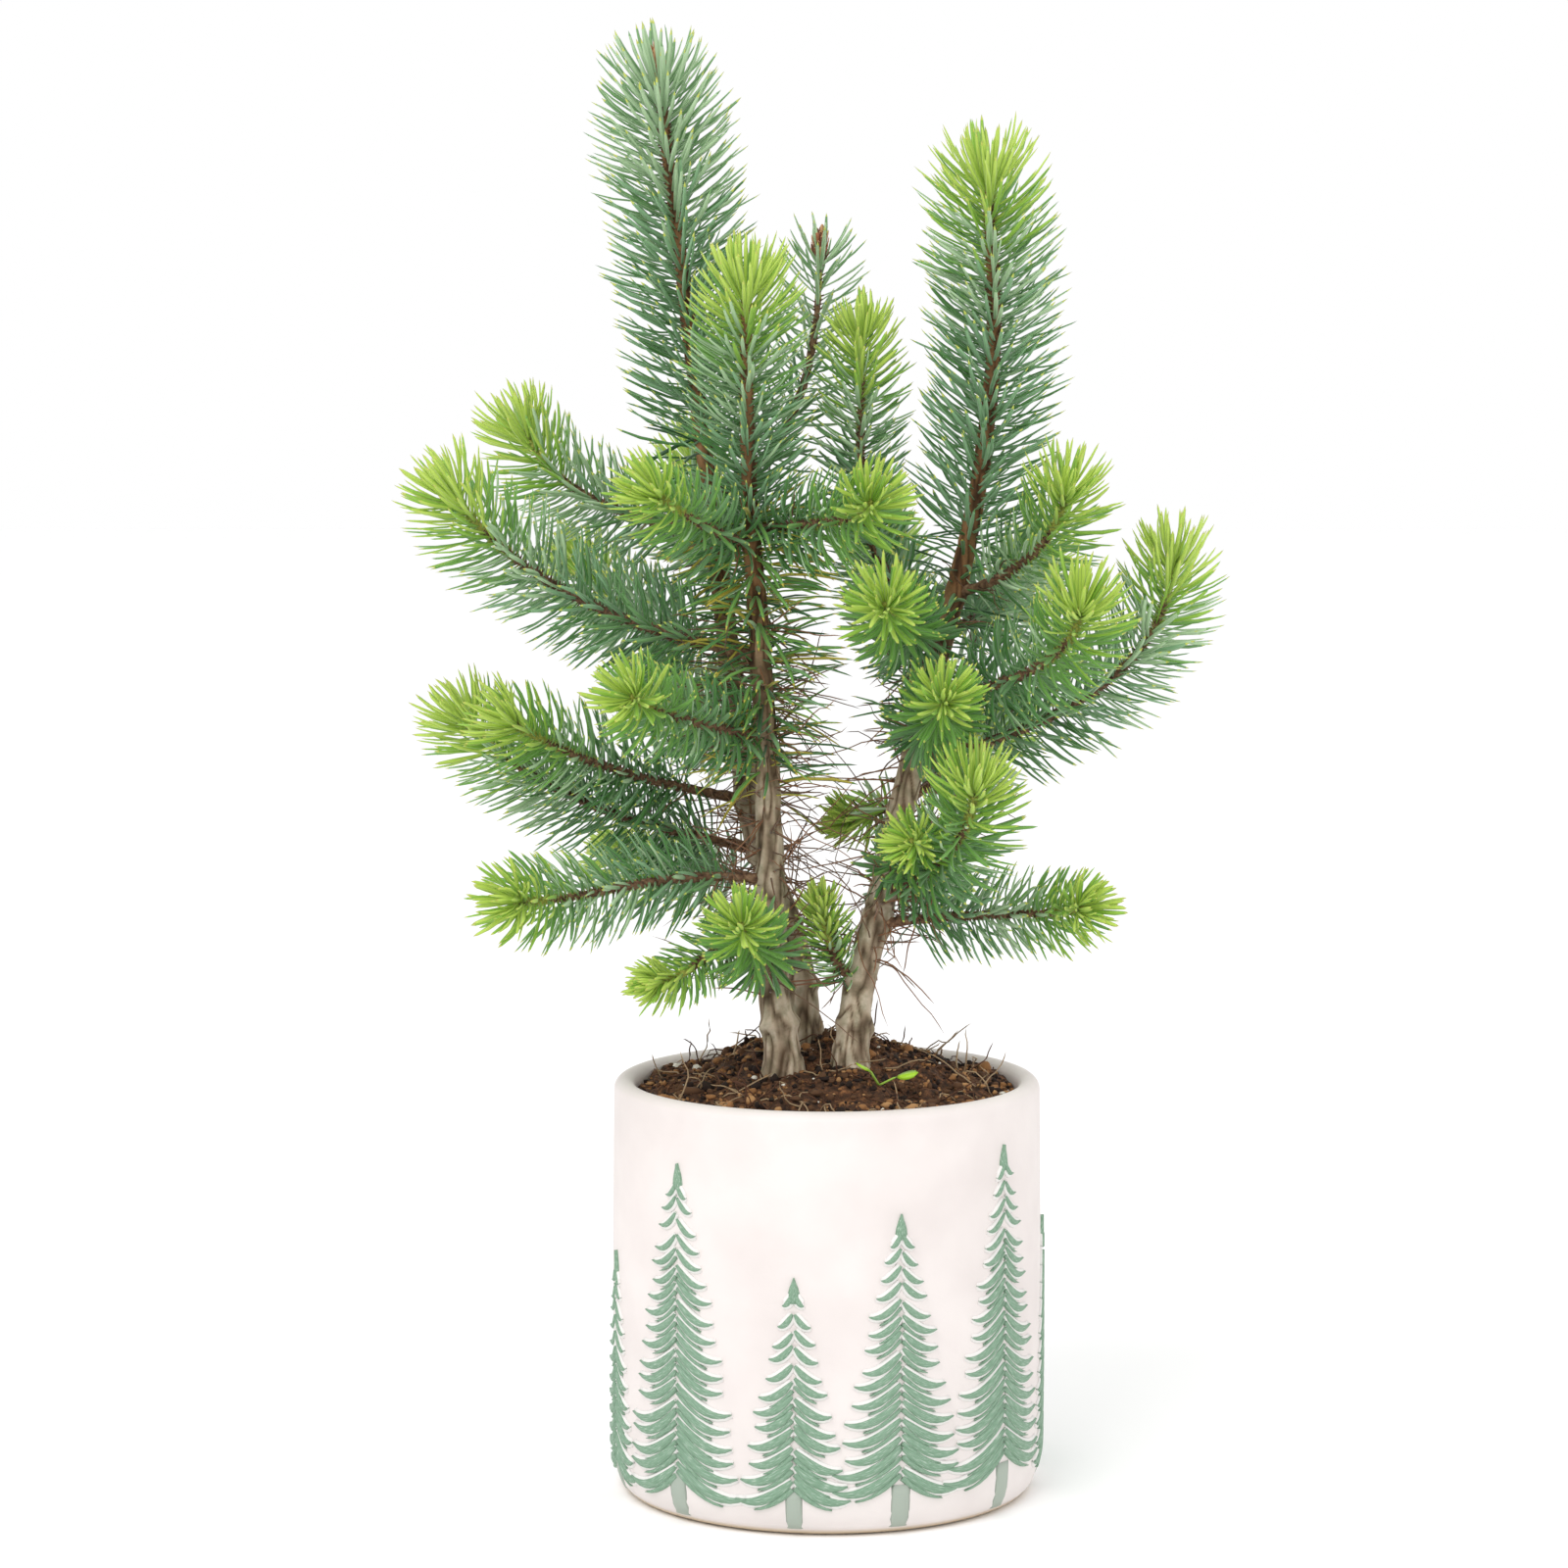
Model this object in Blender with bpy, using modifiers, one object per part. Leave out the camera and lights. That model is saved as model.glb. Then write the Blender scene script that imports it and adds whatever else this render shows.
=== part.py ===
"""Potted young stone pine: a round ceramic pot, its soil, three stems, their boughs and their needle masses.

Metres, +Z up. The origin is the centre of the pot's flat underside, and -Y is the side that faces the viewer.
The tables below are in millimetres, and MM turns them to metres where a piece is made.
"""

import math

import bmesh
import bpy
import numpy as np
from mathutils import Vector

MM = 0.001
WELD = 1e-6
PLANT = "potted_stone_pine"

# Clear gap between two pieces that touch in life
GAP = 0.3

# Pot: a straight round wall with a soft rim, a rounded foot and a flat underside
POT_HEIGHT = 124.0
POT_RIM_RADIUS = 63.5
POT_BODY_RADIUS = 64.0
POT_BASE_RADIUS = 58.0
POT_WALL = 6.4
POT_FLOOR = 8.0
RIM_ROUNDING = 2.6
FOOT_ROUNDING_HEIGHT = 12.0
FLOOR_ROUNDING = 5.0
TURN_STEPS = 40

# Soil: fills the pot and rises to a mound behind the middle
SOIL_EDGE_HEIGHT = 120.0
SOIL_MOUND = 14.0
SOIL_MOUND_CENTRE = (0.0, 10.0)
SOIL_MOUND_RADIUS = 62.0
SOIL_LUMP = 0.7
SOIL_RINGS = 4

# Stems: points up the middle of each, from the soil to the tip, and the radii at both ends.
# The needle mass round the top of a stem starts at the height "leader".
STEMS = {
    "front_stem": {
        "points": [
            (-13, -14, 127), (-16, -12, 155), (-17, -9, 195), (-19, -8, 242), (-23, -8, 300), (-24, -10, 357)],
        "foot": 5.0, "tip": 1.5, "leader": 293, "needle": 22.0,
    },
    "rear_stem": {
        "points": [
            (-6, 12, 132), (-10, 14, 163), (-22, 16, 198), (-28, 18, 240), (-38, 21, 321), (-50, 25, 418)],
        "foot": 4.4, "tip": 1.5, "leader": 316, "needle": 25.0,
    },
    "right_stem": {
        "points": [
            (7, -10, 129), (10, -6, 154), (17, -2, 182), (30, 3, 238), (43, 6, 290), (49, 6, 340), (47, 5, 388)],
        "foot": 4.8, "tip": 1.5, "leader": 288, "needle": 24.0,
    },
}
FLARE = 1.7
FLARE_HEIGHT = 6.0
FLARE_RUN = 4.0

# Shoots: the stem, the height of the root on it, the tip, the way the tip points (azimuth from +X, elevation),
# the bare length that is a bough, and the length of the needles
SHOOTS = {
    "left_big": ("front_stem", 250, (-108, -20, 297), (205, 50), 26, 22),
    "left_high": ("rear_stem", 284, (-91, 30, 315), (165, 62), 18, 20),
    "left_inner": ("front_stem", 283, (-50, -38, 299), (225, 25), 0, 18),
    "left_front": ("front_stem", 226, (-56, -50, 242), (255, 20), 0, 18),
    "left_middle": ("rear_stem", 205, (-93, -12, 231), (205, 30), 28, 19),
    "left_rising": ("rear_stem", 190, (-108, 14, 229), (170, 45), 20, 20),
    "left_low": ("front_stem", 184, (-90, -40, 182), (235, 10), 20, 18),
    "foot_left": ("front_stem", 169, (-50, -30, 157), (215, 5), 0, 12),
    "foot_front": ("front_stem", 161, (-25, -48, 176), (265, 30), 0, 17),
    "centre_high": ("front_stem", 287, (12, -40, 297), (275, 30), 0, 18),
    "centre_upper": ("right_stem", 252, (16, -46, 268), (265, 25), 14, 18),
    "centre_middle": ("right_stem", 226, (33, -44, 241), (272, 25), 0, 17),
    "centre_low": ("right_stem", 186, (24, -38, 199), (240, 10), 0, 14),
    "centre_behind": ("right_stem", 204, (6, 12, 200), (225, 30), 0, 12),
    "right_front_low": ("right_stem", 180, (42, -44, 215), (275, 60), 16, 20),
    "right_front_big": ("right_stem", 236, (72, -42, 266), (275, 50), 22, 21),
    "right_high": ("right_stem", 268, (69, -15, 298), (275, 58), 16, 20),
    "right_far": ("right_stem", 218, (102, 5, 277), (85, 75), 34, 20),
    "right_low": ("right_stem", 170, (74, -25, 178), (290, 15), 14, 16),
    "between_stems": ("right_stem", 154, (-2, -14, 177), (240, 65), 0, 11),
    "thin_top": ("rear_stem", 297, (-2, 45, 367), (90, 82), 30, 18),
    "upright_centre": ("right_stem", 262, (10, 10, 344), (110, 80), 24, 17),
    "back_high": ("rear_stem", 272, (-40, 64, 305), (95, 50), 14, 20),
    "back_left_upper": ("rear_stem", 250, (-76, 60, 272), (135, 40), 18, 20),
    "back_right_upper": ("right_stem", 256, (64, 58, 274), (65, 40), 18, 20),
    "back_centre": ("right_stem", 244, (16, 66, 282), (95, 35), 18, 19),
    "back_left_middle": ("rear_stem", 218, (-50, 62, 238), (120, 25), 14, 19),
    "back_right_middle": ("right_stem", 206, (54, 60, 226), (70, 30), 18, 19),
    "back_left_low": ("rear_stem", 180, (-62, 50, 184), (150, 15), 16, 17),
    "back_right_low": ("right_stem", 178, (36, 50, 186), (75, 20), 14, 17),
}

# A shoot leaves its stem outwards and a little upwards, and curves to the way its tip points
ROOT_RISE = 12.0
ROOT_PULL = 0.42
TIP_PULL = 0.34

# Limb radii: a bough from root to end, then the slim core that carries the needles.
# A leader's core is a sleeve round the top of its stem.
BOUGH_ROOT_RADIUS = 2.0
BOUGH_END_RADIUS = 1.5
CORE_RADIUS = 2.3
CORE_TIP_RADIUS = 1.3
CORE_SWELL = 5.0
SLEEVE_WALL = 1.2
SLEEVE_CLOSING = 3.0

# Needles: sprays of a few, each a thin toothed blade, spaced evenly along the core and each a golden angle
# round it from the last, with a tuft at the tip. Leans and spread are in degrees, FIRST_TURN in radians.
GOLDEN_ANGLE = math.radians(137.508)
FIRST_TURN = 0.5
SPRAY_SPACING = 6.8
LEADER_SPACING = 4.2
FIRST_SPRAY = 4.5
NEEDLES_A_SPRAY = 3
SPRAY_SPREAD = 22.0
SPRAY_THICKNESS = 1.6
LEAN_OLD = 58.0
LEAN_YOUNG = 44.0
LEAN_TUFT = 26.0
TUFT_COUNT = 3
TUFT_ROOT = 1.0
TUFT_STEP = 0.8
YOUNG_LENGTH = 18.0
NOTCH_SHARE = 0.52
CENTRE_SHARE = 0.34
ROOT_SUNK = 0.9
ROOT_HALF_WIDTH = 1.0

# How far needles keep from the next mass's space, from limbs, and from pot and soil
SPACE_MARGIN = 1.6
LIMB_MARGIN = 1.9
POT_MARGIN = 4.0

# Spacing of the rings of limbs, and of the points from which needles are set out
TUBE_STEP = 9.0
STEM_STEP = 18.0
END_RUN = 1.5
FINE_STEPS = 240


def srgb(code):
    """A hex colour as the linear colour that a shader takes."""
    levels = [int(code[i:i + 2], 16) / 255 for i in (1, 3, 5)]
    return [v / 12.92 if v <= 0.04045 else ((v + 0.055) / 1.055) ** 2.4 for v in levels] + [1.0]


def make_material(name, colour, roughness):
    material = bpy.data.materials.new(name)
    material.use_nodes = True
    shader = material.node_tree.nodes["Principled BSDF"]
    shader.inputs["Base Color"].default_value = srgb(colour)
    shader.inputs["Roughness"].default_value = roughness
    shader.inputs["Metallic"].default_value = 0.0
    return material


def clear_scene():
    for obj in list(bpy.data.objects):
        bpy.data.objects.remove(obj, do_unlink=True)


def evaluated_mesh(obj):
    """A new mesh of the object as its modifiers leave it."""
    depsgraph = bpy.context.evaluated_depsgraph_get()
    return bpy.data.meshes.new_from_object(obj.evaluated_get(depsgraph))


def weld(mesh):
    """Join points that lie on each other, as where a curve's caps meet its sides."""
    work = bmesh.new()
    work.from_mesh(mesh)
    bmesh.ops.remove_doubles(work, verts=work.verts, dist=WELD)
    work.to_mesh(mesh)
    work.free()


def applied(obj):
    """Apply the object's modifiers to its mesh, and take them off."""
    mesh = evaluated_mesh(obj)
    obj.modifiers.clear()
    obj.data = mesh


def remove(obj):
    bpy.data.objects.remove(obj, do_unlink=True)


def turned(name, profile, collection):
    """A profile of (radius, height) in millimetres, turned about the Z axis."""
    mesh = bpy.data.meshes.new(name)
    points = [(r * MM, 0.0, z * MM) for r, z in profile]
    edges = [(i, i + 1) for i in range(len(points) - 1)]
    mesh.from_pydata(points, edges, [])
    obj = bpy.data.objects.new(name, mesh)
    collection.objects.link(obj)
    screw = obj.modifiers.new("Turn", "SCREW")
    screw.axis = "Z"
    screw.steps = TURN_STEPS
    screw.render_steps = TURN_STEPS
    screw.use_merge_vertices = True
    screw.merge_threshold = 0.0001
    applied(obj)
    return obj


def arc(centre, radii, start, end, count):
    """Points on an ellipse's arc, from one angle in degrees to another."""
    angles = np.radians(np.linspace(start, end, count))
    return [(centre[0] + radii[0] * math.cos(a), centre[1] + radii[1] * math.sin(a)) for a in angles]


def smooth_shading(obj, angle=40.0):
    obj.data.shade_smooth()
    obj.data.set_sharp_from_angle(angle=math.radians(angle))


def make_pot(collection):
    """The ceramic pot: inside floor and wall, rounded rim, outer wall, rounded foot, flat underside."""
    inner = POT_RIM_RADIUS - POT_WALL
    rim = RIM_ROUNDING
    foot_step = POT_BODY_RADIUS - POT_BASE_RADIUS
    profile = [(0.0, POT_FLOOR)]
    profile += arc((inner - FLOOR_ROUNDING, POT_FLOOR + FLOOR_ROUNDING), (FLOOR_ROUNDING,) * 2, -90, 0, 3)
    profile += arc((inner + rim, POT_HEIGHT - rim), (rim, rim), 180, 90, 3)
    profile += arc((POT_RIM_RADIUS - rim, POT_HEIGHT - rim), (rim, rim), 90, 0, 3)
    profile += [(POT_BODY_RADIUS, POT_HEIGHT * 0.6)]
    profile += arc((POT_BASE_RADIUS, FOOT_ROUNDING_HEIGHT), (foot_step, FOOT_ROUNDING_HEIGHT), 0, -90, 4)
    profile += [(0.0, 0.0)]
    pot = turned("pot", profile, collection)
    smooth_shading(pot)
    return pot


def soil_height(x, y):
    """The soil's height in millimetres: a rounded mound, with small lumps made of sine waves."""
    away = math.hypot(x - SOIL_MOUND_CENTRE[0], y - SOIL_MOUND_CENTRE[1]) / SOIL_MOUND_RADIUS
    mound = SOIL_MOUND * math.cos(min(away, 1.0) * math.pi / 2) ** 2
    lump = SOIL_LUMP * math.sin(x * 0.21 + 1.0) * math.sin(y * 0.24 + 0.4)
    return SOIL_EDGE_HEIGHT + mound + lump


def make_soil(collection):
    """The soil: a turned plug whose top is raised to the mound, with a flat seat under each stem."""
    radius = POT_RIM_RADIUS - POT_WALL - GAP
    bottom = POT_FLOOR + GAP
    top = [(radius * i / SOIL_RINGS, SOIL_EDGE_HEIGHT) for i in range(SOIL_RINGS + 1)]
    corner = arc((radius - FLOOR_ROUNDING, bottom + FLOOR_ROUNDING), (FLOOR_ROUNDING,) * 2, 0, -90, 3)
    soil = turned("soil", top + corner + [(0.0, bottom)], collection)
    for vertex in soil.data.vertices:
        if vertex.co.z > SOIL_EDGE_HEIGHT * MM * 0.99:
            vertex.co.z = soil_height(vertex.co.x / MM, vertex.co.y / MM) * MM
    for stem in STEMS.values():
        x, y, z = stem["points"][0]
        bpy.ops.mesh.primitive_cylinder_add(
            vertices=16, radius=(stem["foot"] + FLARE + 2 * GAP) * MM, depth=0.02,
            location=(x * MM, y * MM, (z - GAP) * MM + 0.01))
        seat = bpy.context.object
        difference(soil, seat)
        remove(seat)
    smooth_shading(soil)
    return soil


def difference(target, cutter):
    """Cut one object by another, and apply the cut."""
    cut = target.modifiers.new("Cut", "BOOLEAN")
    cut.operation = "DIFFERENCE"
    cut.solver = "EXACT"
    cut.object = cutter
    applied(target)


def spline_points(points, step):
    """A smooth path through a few points (Catmull-Rom), read off about every step."""
    knots = np.array(points, float)
    before = 2 * knots[0] - knots[1]
    after = 2 * knots[-1] - knots[-2]
    knots = np.vstack([before, knots, after])
    path = []
    for i in range(1, len(knots) - 2):
        a, b, c, d = knots[i - 1:i + 3]
        count = max(2, int(round(np.linalg.norm(c - b) / step)))
        for t in np.arange(count) / count:
            path.append(0.5 * (2 * b + (c - a) * t + (2 * a - 5 * b + 4 * c - d) * t ** 2
                               + (3 * b - a - 3 * c + d) * t ** 3))
    path.append(knots[-2])
    return np.array(path)


def lengths_along(path):
    steps = np.linalg.norm(np.diff(path, axis=0), axis=1)
    return np.concatenate([[0.0], np.cumsum(steps)])


def points_at(path, lengths):
    """The points at the given lengths along a path."""
    along = lengths_along(path)
    return np.stack([np.interp(lengths, along, path[:, k]) for k in range(3)], axis=1)


def stem_line(name):
    """The middle line of a stem, finely read, with an upright start so that its foot is cut level."""
    points = STEMS[name]["points"]
    foot = points[0]
    raised = (foot[0], foot[1], foot[2] + FLARE_RUN)
    return np.vstack([[foot], spline_points([raised] + points[1:], 2.0)])


def stem_radius(name, along, total):
    """Even taper from foot to tip, plus a flare over the lowest few millimetres."""
    stem = STEMS[name]
    taper = stem["foot"] + (stem["tip"] - stem["foot"]) * along / total
    return taper + FLARE * np.exp(-along / FLARE_HEIGHT)


def direction(azimuth, elevation):
    azimuth, elevation = math.radians(azimuth), math.radians(elevation)
    level = math.cos(elevation)
    return np.array([level * math.cos(azimuth), level * math.sin(azimuth), math.sin(elevation)])


def shoot_line(name):
    """The middle line of a shoot: a cubic curve from the stem's middle to the tip."""
    stem, height, tip, heading, _, _ = SHOOTS[name]
    line = stem_line(stem)
    root = np.array([np.interp(height, line[:, 2], line[:, k]) for k in range(3)])
    tip = np.array(tip, float)
    span = np.linalg.norm(tip - root)
    outward = math.degrees(math.atan2(tip[1] - root[1], tip[0] - root[0]))
    first = root + direction(outward, ROOT_RISE) * span * ROOT_PULL
    second = tip - direction(*heading) * span * TIP_PULL
    t = np.linspace(0, 1, 60)[:, None]
    return root * (1 - t) ** 3 + 3 * first * t * (1 - t) ** 2 + 3 * second * t ** 2 * (1 - t) + tip * t ** 3


def tube(name, path, radii, collection, resolution=2):
    """A round tapering limb: a curve with a bevel and filled caps, made a mesh. Millimetres in."""
    curve = bpy.data.curves.new(name, "CURVE")
    curve.dimensions = "3D"
    curve.bevel_depth = MM
    curve.bevel_resolution = resolution
    curve.use_fill_caps = True
    spline = curve.splines.new("POLY")
    spline.points.add(len(path) - 1)
    for point, place, radius in zip(spline.points, path, radii):
        point.co = (*((place - path[0]) * MM), 1.0)
        point.radius = radius
    guide = bpy.data.objects.new(name + "_guide", curve)
    guide.location = Vector(path[0]) * MM
    collection.objects.link(guide)
    bpy.context.view_layer.update()
    mesh = evaluated_mesh(guide)
    weld(mesh)
    obj = bpy.data.objects.new(name, mesh)
    obj.matrix_world = guide.matrix_world
    collection.objects.link(obj)
    remove(guide)
    return obj


def steps_between(start, end, step):
    count = max(2, int(round((end - start) / step)) + 1)
    return np.linspace(start, end, count)


def joint_points(line, at):
    """Points just before and just after a place on a line, set along its direction there.

    A bough ends on the first pair and its mass starts on the second, so their caps face each other squarely.
    """
    before, place, after = points_at(line, [at - END_RUN, at, at + END_RUN])
    ahead = (after - before) / np.linalg.norm(after - before)
    half = GAP / 2
    return [place - ahead * END_RUN, place - ahead * half], [place + ahead * half, place + ahead * END_RUN]


def make_stem(name, collection, swell=0.0):
    """A stem from its level foot to its tip. With a swell it is the cutter that clears its neighbours."""
    line = stem_line(name)
    total = lengths_along(line)[-1]
    along = np.concatenate([[0.0, 2.0, FLARE_RUN], steps_between(FLARE_RUN + 6.0, total, STEM_STEP)])
    radii = stem_radius(name, along, total) + swell
    path = points_at(line, along)
    if swell:
        path[0, 2] -= swell
        path[-1] += (path[-1] - path[-2]) / np.linalg.norm(path[-1] - path[-2]) * swell
    return tube(name + ("_cutter" if swell else ""), path, radii, collection)


def bough_radius(along, bare):
    return BOUGH_ROOT_RADIUS + (BOUGH_END_RADIUS - BOUGH_ROOT_RADIUS) * along / bare


def make_bough(name, cutters, collection):
    """The bare length of a shoot, from its stem's skin to the mass it carries."""
    stem, bare = SHOOTS[name][0], SHOOTS[name][4]
    line = shoot_line(name)
    along = steps_between(0.0, bare - 2 * END_RUN, TUBE_STEP)
    path = np.vstack([points_at(line, along), joint_points(line, bare)[0]])
    along = np.concatenate([along, [bare - END_RUN, bare]])
    bough = tube("bough_" + name, path, bough_radius(along, bare), collection, 1)
    difference(bough, cutters[stem])
    keep_largest_body(bough)
    smooth_shading(bough, 60.0)
    return bough


def core_radius(along, start, total):
    """The slim core swells from the bough's end and tapers to the tip."""
    swell = np.clip((along - start) / CORE_SWELL, 0, 1)
    body = BOUGH_END_RADIUS + (CORE_RADIUS - BOUGH_END_RADIUS) * swell
    toward_tip = np.clip((along - start) / (total - start), 0, 1) ** 2
    return body + (CORE_TIP_RADIUS - body) * toward_tip


def frames(path):
    """A tangent and two normals at each point of a path, turned as little as possible along it."""
    tangents = np.gradient(path, axis=0)
    tangents /= np.linalg.norm(tangents, axis=1)[:, None]
    seed = np.array([0.0, 0.0, 1.0]) if abs(tangents[0][2]) < 0.8 else np.array([1.0, 0.0, 0.0])
    normals = []
    for tangent in tangents:
        seed = seed - tangent * seed.dot(tangent)
        seed = seed / np.linalg.norm(seed)
        normals.append(seed)
    normals = np.array(normals)
    return tangents, normals, np.cross(tangents, normals)


def spray_fans(line, start, spacing):
    """Where a mass's sprays stand: their roots, forward and outward directions, and leans.

    They climb the line in a spiral and close up into a tuft at its tip. A spray lies flat in the plane of
    forward, which is the line's direction at its root, and outward, which points straight away from the line.
    Lean is the angle of the spray's middle from forward.
    """
    total = lengths_along(line)[-1]
    tuft = total - TUFT_ROOT - TUFT_STEP * np.arange(TUFT_COUNT)[::-1]
    spiral = np.arange(start + FIRST_SPRAY, tuft[0] - spacing / 2, spacing)
    along = np.concatenate([spiral, tuft])
    young = np.clip(1 - (total - spiral) / YOUNG_LENGTH, 0, 1)
    lean = np.concatenate([LEAN_OLD + (LEAN_YOUNG - LEAN_OLD) * young, np.full(TUFT_COUNT, LEAN_TUFT)])
    turn = FIRST_TURN + np.arange(len(along)) * GOLDEN_ANGLE
    tangents, normals, crosses = frames(points_at(line, np.linspace(0, total, FINE_STEPS)))
    index = (along / total * (FINE_STEPS - 1)).round().astype(int)
    outward = np.cos(turn)[:, None] * normals[index] + np.sin(turn)[:, None] * crosses[index]
    return points_at(line, along), tangents[index], outward, np.radians(lean)


def nearest(points, others):
    """The distance from each point to the nearest of the others."""
    return np.linalg.norm(points[:, None, :] - others[None, :, :], axis=2).min(axis=1)


def lines_of_masses():
    """Each mass's middle line, and the length along it at which the mass starts."""
    masses = {}
    for name, stem in STEMS.items():
        line = stem_line(name)
        upper = line[line[:, 2] >= stem["leader"]]
        masses[name] = (upper, 0.0)
    for name, row in SHOOTS.items():
        masses[name] = (shoot_line(name), float(row[4]))
    return masses


def limbs_to_clear():
    """Every limb as (owner, points, radius at each point), for the needles to keep clear of."""
    limbs = []
    for name in STEMS:
        line = stem_line(name)
        along = lengths_along(line)
        limbs.append((name, line, stem_radius(name, along, along[-1])))
    for name, row in SHOOTS.items():
        line = shoot_line(name)
        along = lengths_along(line)
        start = float(row[4])
        limbs.append((name, line, np.where(along < start, BOUGH_ROOT_RADIUS, CORE_RADIUS)))
    return limbs


def needles_clear(name, roots, tips, masses, limbs):
    """Which needles stay in their mass's own space and clear of every other limb, of the pot and of the soil."""
    own = masses[name][0]
    others = np.vstack([
        line[lengths_along(line) >= start] for key, (line, start) in masses.items() if key != name])
    keep = np.ones(len(roots), bool)
    for share in (0.1, 0.3, 0.5, 0.75, 1.0):
        samples = roots + (tips - roots) * share
        if share >= 0.5:
            keep &= nearest(samples, others) > nearest(samples, own) + SPACE_MARGIN
        for owner, line, radii in limbs:
            if owner != name:
                apart = np.linalg.norm(samples[:, None, :] - line[None, :, :], axis=2) - radii[None, :]
                keep &= apart.min(axis=1) > LIMB_MARGIN
        keep &= samples[:, 2] > POT_HEIGHT + POT_MARGIN
        ground = np.array([soil_height(x, y) for x, y in samples[:, :2]])
        keep &= samples[:, 2] > ground + POT_MARGIN
    return keep


def spray_outline(angles, length):
    """The rim of a spray in its own plane: a narrow root, a point for each needle, and notches between them."""
    middle = float(np.mean(angles))
    notch = length * NOTCH_SHARE
    ahead = np.array([math.cos(middle), math.sin(middle)])
    across = np.array([-ahead[1], ahead[0]])
    rim = [-ahead * ROOT_SUNK - across * ROOT_HALF_WIDTH]
    for i, angle in enumerate(angles):
        if i:
            between = (angles[i - 1] + angle) / 2
            rim.append(notch * np.array([math.cos(between), math.sin(between)]))
        rim.append(length * np.array([math.cos(angle), math.sin(angle)]))
    rim.append(-ahead * ROOT_SUNK + across * ROOT_HALF_WIDTH)
    return rim


def make_spray(name, root, forward, outward, angles, length, collection):
    """One spray: a ball with one middle ring, whose ring is drawn out to the toothed rim and flattened."""
    rim = spray_outline(angles, length)
    middle = float(np.mean(angles))
    face = np.cross(forward, outward)
    centre = root + (forward * math.cos(middle) + outward * math.sin(middle)) * length * CENTRE_SHARE
    shape = bmesh.new()
    bmesh.ops.create_uvsphere(shape, u_segments=len(rim), v_segments=2, radius=1.0)
    ring = [v for v in shape.verts if abs(v.co.z) < 0.5]
    ring.sort(key=lambda v: math.atan2(v.co.y, v.co.x))
    for vertex in shape.verts:
        vertex.co = Vector((centre + face * vertex.co.z * SPRAY_THICKNESS / 2) * MM)
    for vertex, (along, across) in zip(ring, rim):
        vertex.co = Vector((root + forward * along + outward * across) * MM)
    mesh = bpy.data.meshes.new(name)
    shape.to_mesh(mesh)
    shape.free()
    spray = bpy.data.objects.new(name, mesh)
    collection.objects.link(spray)


def make_sprays(name, length, spacing, masses, limbs, collection):
    """Every spray of a mass, each with those of its needles that are clear."""
    line, start = masses[name]
    roots, forwards, outwards, leans = spray_fans(line, start, spacing)
    spread = np.radians(np.linspace(-1, 1, NEEDLES_A_SPRAY) * SPRAY_SPREAD)
    angles = leans[:, None] + spread[None, :]
    keep = []
    for angle in angles.T[:, :, None]:
        tips = roots + (forwards * np.cos(angle) + outwards * np.sin(angle)) * length
        keep.append(needles_clear(name, roots, tips, masses, limbs))
    keep = np.array(keep).T
    for i in np.flatnonzero(keep.any(axis=1)):
        make_spray(f"spray_{i}", roots[i], forwards[i], outwards[i], angles[i][keep[i]], length, collection)


def keep_largest_body(obj):
    """Drop loose scraps and the walls of sealed hollows, which leaves one solid body."""
    shape = bmesh.new()
    shape.from_mesh(obj.data)
    left = set(shape.faces)
    bodies = []
    while left:
        stack = [left.pop()]
        body = list(stack)
        while stack:
            for edge in stack.pop().edges:
                for face in edge.link_faces:
                    if face in left:
                        left.remove(face)
                        body.append(face)
                        stack.append(face)
        bodies.append(body)
    bodies.sort(key=len, reverse=True)
    for scrap in bodies[1:]:
        bmesh.ops.delete(shape, geom=scrap, context="FACES")
    shape.to_mesh(obj.data)
    shape.free()


def join_sprays(core, sprays):
    """Fuse a collection of sprays to their core with one union, and apply it."""
    union = core.modifiers.new("Needles", "BOOLEAN")
    union.operation = "UNION"
    union.solver = "EXACT"
    union.operand_type = "COLLECTION"
    union.collection = sprays
    applied(core)
    for spray in list(sprays.objects):
        remove(spray)


def sleeve(name, line, total):
    """Path and radii of a leader's core, which runs round its stem and closes past the stem's tip."""
    along = steps_between(0.0, total, TUBE_STEP)
    full = lengths_along(stem_line(name))[-1]
    radii = stem_radius(name, full - total + along, full) + GAP + SLEEVE_WALL
    path = points_at(line, along)
    ahead = (path[-1] - path[-2]) / np.linalg.norm(path[-1] - path[-2])
    path = np.vstack([path, path[-1] + ahead * SLEEVE_CLOSING])
    return path, np.append(radii, radii[-1] * 0.7)


def make_mass(name, masses, limbs, cutters, collection, sprays):
    """A mass of needles: its slim core and the needles fused on, cut clear of the stem."""
    line, start = masses[name]
    total = lengths_along(line)[-1]
    leader = name in STEMS
    if leader:
        path, radii = sleeve(name, line, total)
    elif start:
        along = steps_between(start + CORE_SWELL, total, TUBE_STEP)
        path = np.vstack([joint_points(line, start)[1], points_at(line, along)])
        radii = core_radius(np.concatenate([[start, start + END_RUN], along]), start, total)
    else:
        along = steps_between(0.0, total, TUBE_STEP)
        path = points_at(line, along)
        radii = core_radius(along, start, total)
    node = "needles_" + (name.replace("stem", "leader") if leader else name)
    core = tube(node, path, radii, collection, 1 if leader else 0)
    length = STEMS[name]["needle"] if leader else SHOOTS[name][5]
    spacing = LEADER_SPACING if leader else SPRAY_SPACING
    make_sprays(name, length, spacing, masses, limbs, sprays)
    join_sprays(core, sprays)
    if leader or not start:
        difference(core, cutters[name if leader else SHOOTS[name][0]])
    keep_largest_body(core)
    return core


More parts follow.
